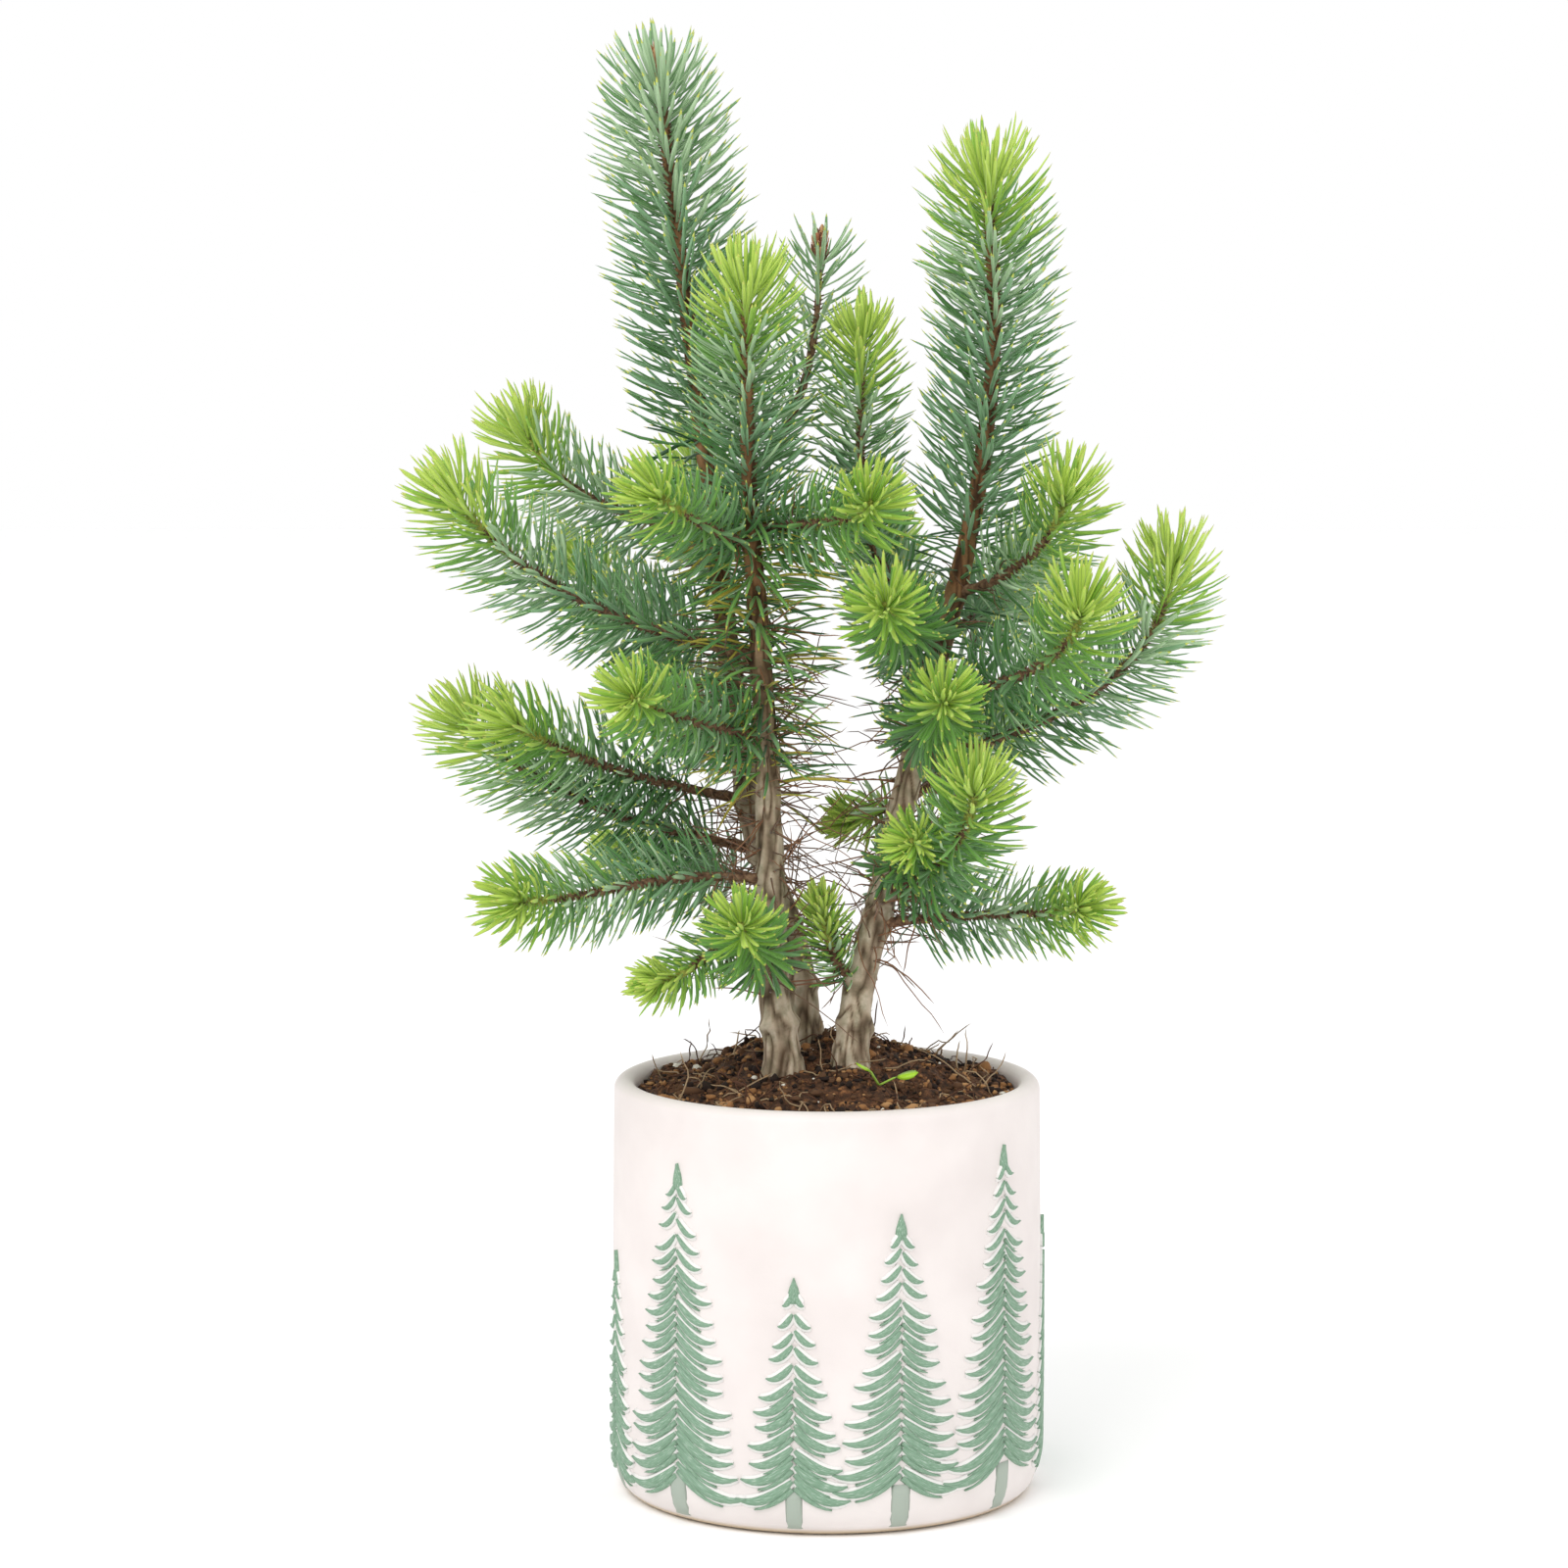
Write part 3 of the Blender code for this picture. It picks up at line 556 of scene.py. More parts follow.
def axis_part(name, seed):
    """A shoot's axis: it thins from root to tip, with a rough skin, and turns green over its last stretch."""
    line = shoot_line(name)
    total = lengths_along(line)[-1]
    along = np.linspace(0, total, int(total / 1.5))
    path = read_path(line, along)
    radii = np.interp(along / total, (0.0, 0.12, 0.6, 1.0), (2.1, 1.45, 1.25, 0.8))
    out = ring_directions(path, AXIS_SIDES)
    skin = path[:, None] + out * radii[:, None, None]
    rough = smooth_noise(skin, 1.3, seed)
    rings = skin + out * ((rough - 0.5) * 0.7)[..., None]
    slots = (total - along < YOUNG_AXIS).astype(int)
    return closed_tube(rings, path[0], path[-1] + unit(path[-1] - path[-2]), slots, rough)


bough_nodes = ["bough_" + name for name, row in SHOOTS.items() if row[4]]
axes = [axis_part(name, 200 + i) for i, name in enumerate(SHOOTS)]
make_piece("shoot_axes", axes, [brown_twig, green_twig], bough_nodes)

# %% [markdown]
# ## Needle colours
# Young needles are yellow-green. Older ones have a waxy bloom, which makes their outer side pale
# grey-green, over a deeper green on the inner side, and the oldest are dark. The tip of each is yellow. A
# colour with a place is dealt out needle by needle from a few plain waxy skins, which keeps it exact
# wherever the model goes.

# %% Waxy needle skins
NEEDLE_SKINS = {
    "young_bright": "#bbd65c",
    "young_green": "#94c046",
    "fresh_green": "#72a64c",
    "pale_bloom": "#b2cfa4",
    "bloom": "#86b084",
    "blue_green": "#6f9c62",
    "deep_green": "#508542",
    "dark_green": "#2e5c30",
    "yellow_tip": "#bcc658",
    "yellowing": "#bcae40",
    "brown_peg": "#6f5038",
    "young_peg": "#aab556",
    "dry_brown": "#8a5c3c",
}
SKIN = {name: i for i, name in enumerate(NEEDLE_SKINS)}
needle_skins = [
    new_material("waxy_" + name, colour, 0.48, Sheen_Weight=0.15, Sheen_Roughness=0.5)
    for name, colour in NEEDLE_SKINS.items()]

# Inner side, outer side and root of a needle, from the youngest age to the oldest
AGES = np.array([[SKIN[name] for name in row] for row in (
    ("young_bright", "young_bright", "young_peg"),
    ("young_green", "young_bright", "young_peg"),
    ("fresh_green", "young_green", "young_peg"),
    ("fresh_green", "pale_bloom", "young_peg"),
    ("blue_green", "pale_bloom", "brown_peg"),
    ("deep_green", "bloom", "brown_peg"),
    ("deep_green", "blue_green", "brown_peg"),
    ("dark_green", "deep_green", "brown_peg"),
)])
print("needle skins:", len(needle_skins), "ages:", len(AGES))

# %% [markdown]
# ## Needles
# Needles stand on a shoot in a spiral, each turned from the last by the golden angle, so that they never
# line up. They leave the shoot steeply and bend forward, and towards the tip they close up into a tuft. One
# needle is a flattened four-sided blade that keeps its width and then runs out to a point. Its root is a
# small peg.

# %% How one needle bends
GOLDEN_ANGLE = math.radians(137.508)
STATIONS = np.array([0.0, 0.07, 0.36, 0.7, 0.92, 1.0])
WIDTHS = np.array([0.95, 0.66, 0.92, 1.0, 0.62, 0.0])
NEEDLE_WIDTH = 1.35
NEEDLE_THICKNESS = 0.5


def needle_paths(roots, forward, outward, lean, bend, length, sway):
    """Each needle is an arc of a circle in the plane of forward and outward, with a slight sideways sway.

    It starts at lean plus half of bend from forward and ends at lean less half of bend.
    """
    first = (lean + bend / 2)[:, None]
    turned = first - bend[:, None] * STATIONS
    ahead = (np.sin(first) - np.sin(turned)) / bend[:, None]
    away = (np.cos(turned) - np.cos(first)) / bend[:, None]
    side = np.cross(forward, outward)
    shift = (forward[:, None] * ahead[..., None] + outward[:, None] * away[..., None]
             + side[:, None] * (sway[:, None] * STATIONS ** 2)[..., None])
    return roots[:, None] + shift * length[:, None, None]


STEM_POINTS = np.vstack([stem_line(name) for name in STEMS])
STEM_RADII = np.concatenate([
    stem_radius(name, lengths_along(stem_line(name)), lengths_along(stem_line(name))[-1]) for name in STEMS])


def soil_height(x, y):
    """The soil's height: a mound behind the middle, and low lumps."""
    away = np.clip(np.hypot(x, y - 10.0) / 62.0, 0, 1)
    return 120.0 + 14.0 * np.cos(away * np.pi / 2) ** 2 + 0.7 * np.sin(x * 0.21 + 1.0) * np.sin(y * 0.24 + 0.4)


def free_of_limbs(paths, from_station):
    """Which needles cross no stem, pot or soil from the given station on."""
    samples = paths[:, from_station:]
    apart = np.linalg.norm(samples[:, :, None] - STEM_POINTS[None, None], axis=-1) - STEM_RADII
    clear = apart.min(axis=(1, 2)) > 0.4
    over = samples[..., 2] > soil_height(samples[..., 0], samples[..., 1]) + 1.0
    return clear & over.all(axis=1)


def grow(line, along, lean, bend, length, age, axis_radius, rng, tips="yellow_tip"):
    """Needles at the given lengths along a line, dealt round it by the golden angle and coloured by age."""
    count = len(along)
    total = lengths_along(line)[-1]
    fine = read_path(line, np.linspace(0, total, 300))
    frames = ring_directions(fine, 4)
    index = np.clip((along / total * 299).round().astype(int), 0, 299)
    turn = np.arange(count) * GOLDEN_ANGLE + rng.normal(0, 0.12, count)
    outward = np.cos(turn)[:, None] * frames[index, 0] + np.sin(turn)[:, None] * frames[index, 1]
    forward = np.cross(frames[index, 0], frames[index, 1])
    roots = read_path(line, along) + outward * axis_radius * 0.5
    paths = needle_paths(roots, forward, outward, lean, bend, length, rng.normal(0, 0.07, count))
    roll = rng.normal(0, 0.45, count)[:, None]
    facing = forward * np.sin(lean)[:, None] - outward * np.cos(lean)[:, None]
    facing = facing * np.cos(roll) + np.cross(forward, outward) * np.sin(roll)
    keep = free_of_limbs(paths, 2 if axis_radius < 2 else 3)
    inner, outer, root = AGES[np.clip(age.round().astype(int), 0, len(AGES) - 1)].T
    tip = np.where(rng.random(count) < 0.85, SKIN[tips], inner)
    widths = WIDTHS * NEEDLE_WIDTH / 2 * rng.uniform(0.85, 1.12, count)[:, None]
    return blades(paths[keep], widths[keep], NEEDLE_THICKNESS, facing[keep],
                  (root[keep], inner[keep], outer[keep], tip[keep]))


print("one needle has", 2 * (4 * (len(STATIONS) - 2) + 1) + 4, "triangles")

# %% [markdown]
# The needles of a whole shoot follow from how far each stands behind the tip. There the lean, the length
# and the age all change quickly over the first centimetre and then hardly at all, so each is a curve that
# flattens out.

# %% Needles of a shoot
SHOOT_DENSITY = 4.0
LEADER_DENSITY = 5.2
TUFT_NEEDLES = 34
LEAN_TIP = 26.0
LEAN_OLD = 64.0
AGE_AT = (0.0, 8.0, 15.0, 24.0, 38.0, 60.0, 90.0)
AGE = (0.0, 1.0, 2.2, 3.3, 4.4, 5.4, 6.6)
NO_TUFT = ("rear_stem", "thin_top")
FEW_NEEDLES = 12
TUFT_LEAN = (3, 56)
TUFT_DEPTH = 2.4


def shoot_needles(name, seed):
    """All needles of one shoot or leader: an even spiral, then a tuft of shorter, closer ones at the tip."""
    rng = np.random.default_rng(seed)
    if name in STEMS:
        line = stem_line(name)
        line = line[line[:, 2] >= STEMS[name]["leader"] - 6]
        start, needle, density, radius = 0.0, STEMS[name]["needle"], LEADER_DENSITY, 1.8
    else:
        line = shoot_line(name)
        start, needle, density, radius = SHOOTS[name][4] * 0.55 + 3, SHOOTS[name][5], SHOOT_DENSITY, 1.1
    total = lengths_along(line)[-1]
    density *= 0.45 if name == "thin_top" else 1.0
    count = int((total - start) * density)
    share = (np.arange(count) + 0.5) / count
    along = start + (total - start - 0.5) * share ** 0.86
    tuft = FEW_NEEDLES if name in NO_TUFT else TUFT_NEEDLES
    along = np.concatenate([along, total - 0.2 - TUFT_DEPTH * rng.random(tuft)])
    behind = total - along
    in_tuft = np.arange(len(along)) >= count
    lean = LEAN_TIP + (LEAN_OLD - LEAN_TIP) * (1 - np.exp(-behind / 8.0)) + rng.normal(0, 6.0, len(along))
    lean = np.where(in_tuft, rng.uniform(*TUFT_LEAN, len(along)), lean)
    bend = np.radians(rng.normal(26, 7, len(along)).clip(6, 50))
    length = needle * (1 - 0.1 * np.exp(-behind / 4.0)) * rng.uniform(0.86, 1.06, len(along))
    length = np.where(in_tuft, length * rng.uniform(0.75, 1.05, len(along)), length)
    age = np.interp(behind, AGE_AT, AGE) + rng.normal(0, 0.5, len(along))
    if name in STEMS:
        age = np.minimum(age, 5.3)
    if name in NO_TUFT:
        age = np.maximum(age, 4.0)
    return grow(line, along, np.radians(lean), bend, length, age, radius, rng)


def mass_node(name):
    """The name of the solid mass of needles on a shoot, or at the top of a stem."""
    return "needles_" + (name.replace("stem", "leader") if name in STEMS else name)


GROUPS = {
    "leader_needles": list(STEMS),
    "left_needles": [name for name in SHOOTS if name.startswith(("left", "foot"))],
    "centre_needles": [name for name in SHOOTS if name.startswith(("centre", "between", "thin", "upright"))],
    "right_needles": [name for name in SHOOTS if name.startswith("right")],
    "back_needles": [name for name in SHOOTS if name.startswith("back")],
}
seeds = {name: 1000 + i for i, name in enumerate(list(STEMS) + list(SHOOTS))}
for group, names in GROUPS.items():
    parts = [shoot_needles(name, seeds[name]) for name in names]
    make_piece(group, parts, needle_skins, [mass_node(name) for name in names])

# %% [markdown]
# ## Needles on the stems
# Below each leader the stem still carries older needles. They are long, stand out or droop, and are turning
# yellow, and lower down they are dry and brown. They fill the middle of the crown with fine lines.

# %% Old needles on the stems
# The stretch of each stem by height, the number of needles, their age and its spread, and their length
OLD_NEEDLES = {
    "front_stem": (214, 292, 130, (6.0, 1.5), 25),
    "rear_stem": (236, 316, 150, (6.6, 0.7), 22),
    "right_stem": (226, 288, 120, (6.4, 0.8), 22),
}


def stem_needles(name, seed):
    """Needles that droop from a stretch of stem, drawn evenly by height and coloured by age."""
    low, high, count, (age, spread), length = OLD_NEEDLES[name]
    rng = np.random.default_rng(seed)
    line = stem_line(name)
    line = line[(line[:, 2] >= low) & (line[:, 2] <= high)]
    along = np.linspace(0, lengths_along(line)[-1], count)
    lean = np.radians(rng.normal(92, 13, count))
    bend = np.radians(rng.normal(-22, 10, count)).clip(-0.8, -0.1)
    lengths = length * rng.uniform(0.7, 1.1, count)
    return grow(line, along, lean, bend, lengths, rng.normal(age, spread, count), 2.6, rng, "yellowing")


def yellowing_needles(seed, count=200):
    """Long needles of the front stem that hang outwards, with one side turned yellow."""
    rng = np.random.default_rng(seed)
    line = stem_line("front_stem")
    line = line[(line[:, 2] >= 206) & (line[:, 2] <= 292)]
    total = lengths_along(line)[-1]
    along = total * rng.random(count) ** 0.7
    lean = np.radians(rng.normal(98, 16, count))
    bend = np.radians(rng.normal(-30, 12, count)).clip(-1.0, -0.1)
    lengths = rng.uniform(18, 28, count)
    part = grow(line, along, lean, bend, lengths, np.full(count, 2.0), 2.6, rng, "yellowing")
    slots = part["quad_slots"]
    part["quad_slots"] = np.where(slots == SKIN["young_green"], SKIN["yellowing"], slots)
    return part


old = [stem_needles(name, 1100 + i) for i, name in enumerate(STEMS)] + [yellowing_needles(1110)]
make_piece("old_stem_needles", old, needle_skins)

# %% [markdown]
# ## Dry twigs and needles
# Round the lower stems hangs a tangle of dead needles and hair-thin twigs that curl as they dry. Each is a
# slim blade along a wandering path: a start direction that turns a little, at random but smoothly, from
# station to station.

# %% Dry tangle
DRY_STATIONS = 9


def wandering(starts, ways, lengths, curl, sag, rng):
    """Paths that turn by a random but smoothly changing amount, and sink by sag at each step."""
    count = len(starts)
    turn = np.cumsum(rng.normal(0, curl, (count, DRY_STATIONS, 3)), axis=1)
    steps = ways[:, None] + turn - np.array((0, 0, sag)) * np.arange(DRY_STATIONS)[None, :, None]
    steps = unit(steps) * (lengths / (DRY_STATIONS - 1))[:, None, None]
    steps[:, 0] = 0
    return starts[:, None] + np.cumsum(steps, axis=1)


def dry_part(starts, ways, lengths, half_width, curl, sag, skins, rng):
    """Dry blades from the given places, thinning to a point."""
    paths = wandering(starts, ways, lengths, curl, sag, rng)
    low = paths[..., 2].min(axis=1)
    keep = low > soil_height(paths[:, -1, 0], paths[:, -1, 1]) + 0.5
    paths = paths[keep]
    widths = half_width * np.linspace(1.0, 0.55, DRY_STATIONS)
    skin = rng.choice([SKIN[name] for name in skins], len(paths))
    return blades(paths, widths, 0.8, np.tile((0.3, 0.2, 0.9), (len(paths), 1)), (skin, skin, skin, skin))


def around_stem(name, low, high, count, rng):
    """Random places on a stem between two heights, and the way out from each."""
    line = stem_line(name)
    heights = rng.uniform(low, high, count)
    middle = np.stack([np.interp(heights, line[:, 2], line[:, k]) for k in range(3)], axis=1)
    turn = rng.uniform(0, 2 * np.pi, count)
    out = np.stack([np.cos(turn), np.sin(turn), rng.normal(0.05, 0.35, count)], axis=1)
    return middle + out * (3.5, 3.5, 0), unit(out)


rng = np.random.default_rng(77)
tangle = []
for name, low, high, count in (
        ("front_stem", 150, 262, 150), ("rear_stem", 165, 250, 110), ("right_stem", 160, 250, 120)):
    starts, ways = around_stem(name, low, high, count, rng)
    tangle.append(dry_part(
        starts, ways, rng.uniform(10, 26, count), 0.34, 0.10, 0.03,
        ("dry_brown", "dry_brown", "brown_peg"), rng))
    starts, ways = around_stem(name, low, high - 15, count // 3, rng)
    tangle.append(dry_part(
        starts, ways, rng.uniform(22, 42, len(starts)), 0.27, 0.33, 0.02, ("brown_peg", "dry_brown"), rng))
for name, row in SHOOTS.items():
    line = shoot_line(name)
    bare = max(row[4], 16)
    along = rng.uniform(4, bare, 9)
    starts = read_path(line, along)
    ways = unit(rng.normal(0, 1, (len(along), 3)) * (1, 1, 0.8))
    tangle.append(dry_part(
        starts, ways, rng.uniform(8, 18, len(along)), 0.3, 0.2, 0.05,
        ("dry_brown", "brown_peg", "dark_green"), rng))
make_piece("dry_tangle", tangle, needle_skins)

# %% [markdown]
# ## Buds
# The tallest leader and the thin shoot end in brown resinous buds, each a spindle wrapped in narrow papery
# scales. The scales are short blades that hug a spindle, again set by the golden angle.

# %% Resting buds
bud_brown = new_material("bud_brown", "#a5623f", 0.55)
bud_paper = new_material("bud_paper", "#cf9c70", 0.7)
bud_dark = new_material("bud_dark", "#7b4630", 0.55)


def bud_part(tip, way, length, radius, seed):
    """A spindle and its scales: scale roots climb the spindle, and lean in more towards its point."""
    rng = np.random.default_rng(seed)
    share = np.linspace(0.02, 0.98, 12)
    profile = radius * np.sin(np.pi * (0.16 + 0.84 * share) ** 0.9) ** 0.8
    path = tip + way * (share * length)[:, None]
    rings = path[:, None] + ring_directions(path, 10) * profile[:, None, None]
    core = closed_tube(rings, tip, tip + way * length)
    count = 46
    place = np.linspace(0.0, 0.8, count)
    turn = np.arange(count) * GOLDEN_ANGLE
    base = ring_directions(path, 4)[0]
    out = np.cos(turn)[:, None] * base[0] + np.sin(turn)[:, None] * base[1]
    spread = np.interp(place, share, profile)
    roots = tip + way * (place * length)[:, None] + out * (spread * 0.8)[:, None]
    lean = np.radians(np.interp(place, (0, 1), (30, 4)) + rng.normal(0, 5, count))
    paths = needle_paths(
        roots, np.tile(way, (count, 1)), out, lean, np.full(count, 0.5),
        rng.uniform(3.2, 4.8, count), np.zeros(count))
    skin = rng.choice([0, 1, 2], count)
    scales = blades(paths, WIDTHS * 0.75, 0.3, out, (skin, skin, skin, np.ones(count, int)))
    return [core, scales]


buds = []
for name, length, radius in (("rear_stem", 13.0, 1.9), ("thin_top", 9.0, 1.6)):
    line = stem_line(name) if name in STEMS else shoot_line(name)
    foot = line[-1] - unit(line[-1] - line[-2])
    buds += bud_part(foot, unit(line[-1] - line[-3]), length, radius, len(buds) + 5)
make_piece("buds", buds, [bud_brown, bud_paper, bud_dark])

# %% [markdown]
# ## Pot
# The pot is cast in white clay with a matt white skin, smooth but dry, with a faint grain and a warm tone.
# It is a turned form: a profile carried round the axis. Its foot and rim are rounded. The white skin stops
# just above the foot, where the bare clay is a little warmer.

# %% Pot
POT_HEIGHT = 124.0
POT_STEPS = 200
OUTER = [
    (0.0, 0.0), (57.5, 0.0), (60.2, 0.9), (62.2, 3.2), (63.5, 7.0), (64.0, 12.0),
    (64.1, 40.0), (64.0, 75.0), (63.7, 105.0), (63.5, 119.0)]


def arc(centre, radius, start, end, count):
    """Points on a circle's arc, from one angle in degrees to another."""
    angles = np.radians(np.linspace(start, end, count))
    return [(centre[0] + radius * math.cos(a), centre[1] + radius * math.sin(a)) for a in angles]


def pot_profile():
    """Outer side from the foot up, the rounded rim, and the inner wall down to the pot's floor."""
    rim = arc((60.3, POT_HEIGHT - 3.2), 3.2, 0, 180, 13)
    return OUTER + rim + [(56.9, 100.0), (56.9, 14.0), (52.0, 8.0), (0.0, 8.0)]


def finer(profile, step):
    """More points along a profile's straight runs, so that no quad is long."""
    points = np.array(profile)
    lengths = np.concatenate([[0], np.cumsum(np.hypot(*np.diff(points, axis=0).T))])
    marks = np.unique(np.concatenate([lengths, np.arange(0, lengths[-1], step)]))
    return np.stack([np.interp(marks, lengths, points[:, k]) for k in (0, 1)], axis=1)


def clay_material():
    """Matt white clay: a warm white, faint cloudy tone, fine grain, and a warmer bare foot."""
    material = new_material("matt_white_clay", "#e4dbd8", 0.62)
    place = add_node(material, "ShaderNodeTexCoord")
    cloud = add_node(material, "ShaderNodeTexNoise", Vector=place.outputs["Object"], Scale=38.0, Detail=3.0)
    tone = add_node(
        material, "ShaderNodeValToRGB", {"stops": [(0.3, "#ded5d2"), (0.7, "#e8e0dd")]},
        Fac=cloud.outputs["Fac"])
    height = add_node(material, "ShaderNodeSeparateXYZ", Vector=place.outputs["Object"])
    foot = add_node(
        material, "ShaderNodeMapRange", Value=height.outputs["Z"], From_Min=0.0012, From_Max=0.0024)
    body = add_node(
        material, "ShaderNodeMixRGB",
        Fac=foot.outputs["Result"], Color1=linear("#cfbb9f"), Color2=tone.outputs["Color"])
    grain = add_node(material, "ShaderNodeTexNoise", Vector=place.outputs["Object"], Scale=900.0, Detail=2.0)
    bump = add_node(material, "ShaderNodeBump", Height=grain.outputs["Fac"], Strength=0.12, Distance=0.0003)
    link_shader(material, Base_Color=body.outputs["Color"], Normal=bump.outputs["Normal"])
    return material


profile = finer(pot_profile(), 3.0)
angles = np.linspace(0, 2 * np.pi, POT_STEPS, endpoint=False)
round_about = np.stack([np.cos(angles), np.sin(angles)], axis=-1)
wall = profile[1:-1, None, :1] * round_about[None]
heights = np.repeat(profile[1:-1, 1:], POT_STEPS, axis=1)[..., None]
pot_rings = np.concatenate([wall, heights], axis=-1)
clay = clay_material()
make_piece("clay_pot", [closed_tube(pot_rings, (0, 0, 0), (0, 0, 8.0))], [clay], ["pot"])

# %% [markdown]
# ## Relief of trees
# Round the pot stands a row of simple fir trees in low relief. A tree is tiers of drooping boughs, wider
# towards the ground, so a short rule draws them all: each tier has a bough on both sides that falls away
# steeply from the middle and levels out. A bough is a flat blade of sage green on a slightly wider white
# one, like paint brushed off the raised edges. The blades are worked out on a flat sheet, and then the
# sheet is wrapped round the pot.

# %% Boughs of a tree in relief
# Each tree: its place round the pot in degrees, the height of its top, and half its width
TREES = [
    (-43, 104, 24.0), (-9, 74, 17.0), (19, 92, 21.0), (53, 108, 24.0), (88, 80, 18.0), (118, 98, 22.0),
    (152, 76, 17.5), (184, 106, 24.0), (219, 84, 19.0), (250, 100, 22.5), (284, 72, 17.0),
]
TREE_FOOT = 9.0
TIER_STEP = 4.9
BOUGH_HALF = 1.75
WHITE_EDGE = 0.75


def sage_material():
    """Sage stain brushed lengthwise on each bough, with pale streaks where the clay shows through."""
    material = new_material("brushed_sage_stain", "#88a48b", 0.6)
    place = add_node(material, "ShaderNodeTexCoord")
    stretched = add_node(material, "ShaderNodeMapping", Vector=place.outputs["UV"], Scale=(1.6, 9.0, 1.0))
    streak = add_node(
        material, "ShaderNodeTexNoise", Vector=stretched.outputs["Vector"], Scale=2.2, Detail=3.0)
    tone = add_node(
        material, "ShaderNodeValToRGB", {"stops": [(0.36, "#6d8d74"), (0.56, "#7f9f86"), (0.7, "#bccabd")]},
        Fac=streak.outputs["Fac"])
    link_shader(material, Base_Color=tone.outputs["Color"])
    return material


sage = sage_material()
white_edge = new_material("brushed_white_clay", "#e6e3e0", 0.65)
grey_trunk = new_material("grey_green_stain", "#a3ada1", 0.6)


def wrapped(points):
    """Flat points (across, height, out) in millimetres, laid on the pot's outer side."""
    radius = np.interp(points[..., 1], [z for _, z in OUTER], [r for r, _ in OUTER]) + points[..., 2]
    angle = points[..., 0] / 64.0
    return np.stack([radius * np.sin(angle), -radius * np.cos(angle), points[..., 1]], axis=-1)


def relief_bough(path, half_widths, lift, slot, sides=8):
    """A flat lens-shaped bough along a path on the sheet, half sunk in the wall."""
    along = unit(np.gradient(path, axis=0))
    across = np.stack([-along[:, 1], along[:, 0], np.zeros(len(path))], axis=-1)
    angles = np.linspace(0, 2 * np.pi, sides, endpoint=False)
    rings = (path[:, None] + across[:, None] * (np.cos(angles)[None] * half_widths[:, None])[..., None]
             + np.array((0, 0, 1.0)) * (np.sin(angles) * lift)[None, :, None])
    share = np.linspace(0, 1, len(path))
    uv = np.stack(np.broadcast_arrays(share[:, None] * 2.0, np.cos(angles)[None] * 0.5), axis=-1)
    uv = uv + (path[0, :2] * 0.37)
    return closed_tube(wrapped(rings), wrapped(path[0]), wrapped(path[-1]), slot, None, uv)


def tree_parts(turn, top, half, seed):
    """A fir tree: tiers of boughs that widen downwards, a point at the top and a strip of trunk."""
    rng = np.random.default_rng(seed)
    middle = math.radians(turn) * 64.0
    parts = []
    s = np.linspace(0, 1, 10)
    for height in np.arange(top - 3.0, TREE_FOOT + half * 0.34, -TIER_STEP):
        down = (top - height) / (top - TREE_FOOT)
        reach = half * (0.10 + 0.95 * down ** 0.85)
        for side in (-1, 1):
            length = reach * rng.uniform(0.9, 1.08)
            drop = 0.30 * length + 2.8
            height_here = height + rng.uniform(-0.9, 0.9)
            path = np.stack([
                middle + side * (0.35 + length * s),
                height_here - drop * (1 - (1 - s) ** 2.1) + 0.10 * length * s ** 4,
                np.zeros(10)], axis=1)
            thick = BOUGH_HALF * (0.55 + 0.6 * down) * np.sin(np.pi * (0.06 + 0.9 * s) ** 0.8) ** 0.75
            parts.append(relief_bough(path, thick + WHITE_EDGE, 0.75, 1))
            parts.append(relief_bough(path, thick, 1.25, 0))
            if length > 9:
                inner = path[:7] - (0, 0.5 * TIER_STEP, 0)
                parts.append(relief_bough(inner, thick[3:] * 0.55, 0.95, 0))
    point = np.stack([np.full(6, middle), np.linspace(top + 2.5, top - 5.0, 6), np.zeros(6)], axis=1)
    parts.append(relief_bough(point, np.array([0.1, 0.7, 1.3, 1.7, 1.9, 1.2]), 1.1, 0))
    trunk = np.stack([np.full(6, middle), np.linspace(TREE_FOOT + half * 0.3, 2.5, 6), np.zeros(6)], axis=1)
    parts.append(relief_bough(trunk, np.full(6, 0.11 * half + 0.6), 0.55, 2))
    return parts


trees = []
for seed, (turn, top, half) in enumerate(TREES):
    trees += tree_parts(turn, top, half, seed)
make_piece("tree_relief", trees, [sage, white_edge, grey_trunk])

# %% [markdown]
# ## Soil
# Potting soil is peat with bark and a little perlite. From a step away it reads as a dark ground covered in
# crumbs of every size, so it is made that way: a lumpy surface, then thousands of small irregular lumps,
# each a rough ball of a few faces.

# %% Soil surface
SOIL_RADIUS = 56.7
SOIL_ROWS = 62
SOIL_STEPS = 150


def soil_material():
    """Damp peat: near-black brown with paler fibres and specks, and a rough surface."""
    material = new_material("damp_peat", "#2e1c12", 0.95)
    place = add_node(material, "ShaderNodeTexCoord")
    speck = add_node(
        material, "ShaderNodeTexNoise", Vector=place.outputs["Object"], Scale=420.0, Detail=6.0, Roughness=0.7)
    tone = add_node(
        material, "ShaderNodeValToRGB",
        {"stops": [(0.32, "#24150c"), (0.5, "#4f3320"), (0.62, "#805434"), (0.74, "#a9764a")]},
        Fac=speck.outputs["Fac"])
    bump = add_node(material, "ShaderNodeBump", Height=speck.outputs["Fac"], Strength=0.9, Distance=0.0012)
    link_shader(material, Base_Color=tone.outputs["Color"], Normal=bump.outputs["Normal"])
    return material


def lumpy_height(x, y):
    """The soil's height with lumps a few mm wide, at most 2.7 mm above or below the solid's mound."""
    flat = np.stack([x, y, np.zeros_like(x)], axis=-1)
    lumps = 3.2 * (smooth_noise(flat, 7.0, 5) - 0.5)
    return soil_height(x, y) + lumps + 2.2 * (smooth_noise(flat, 2.6, 6) - 0.5)


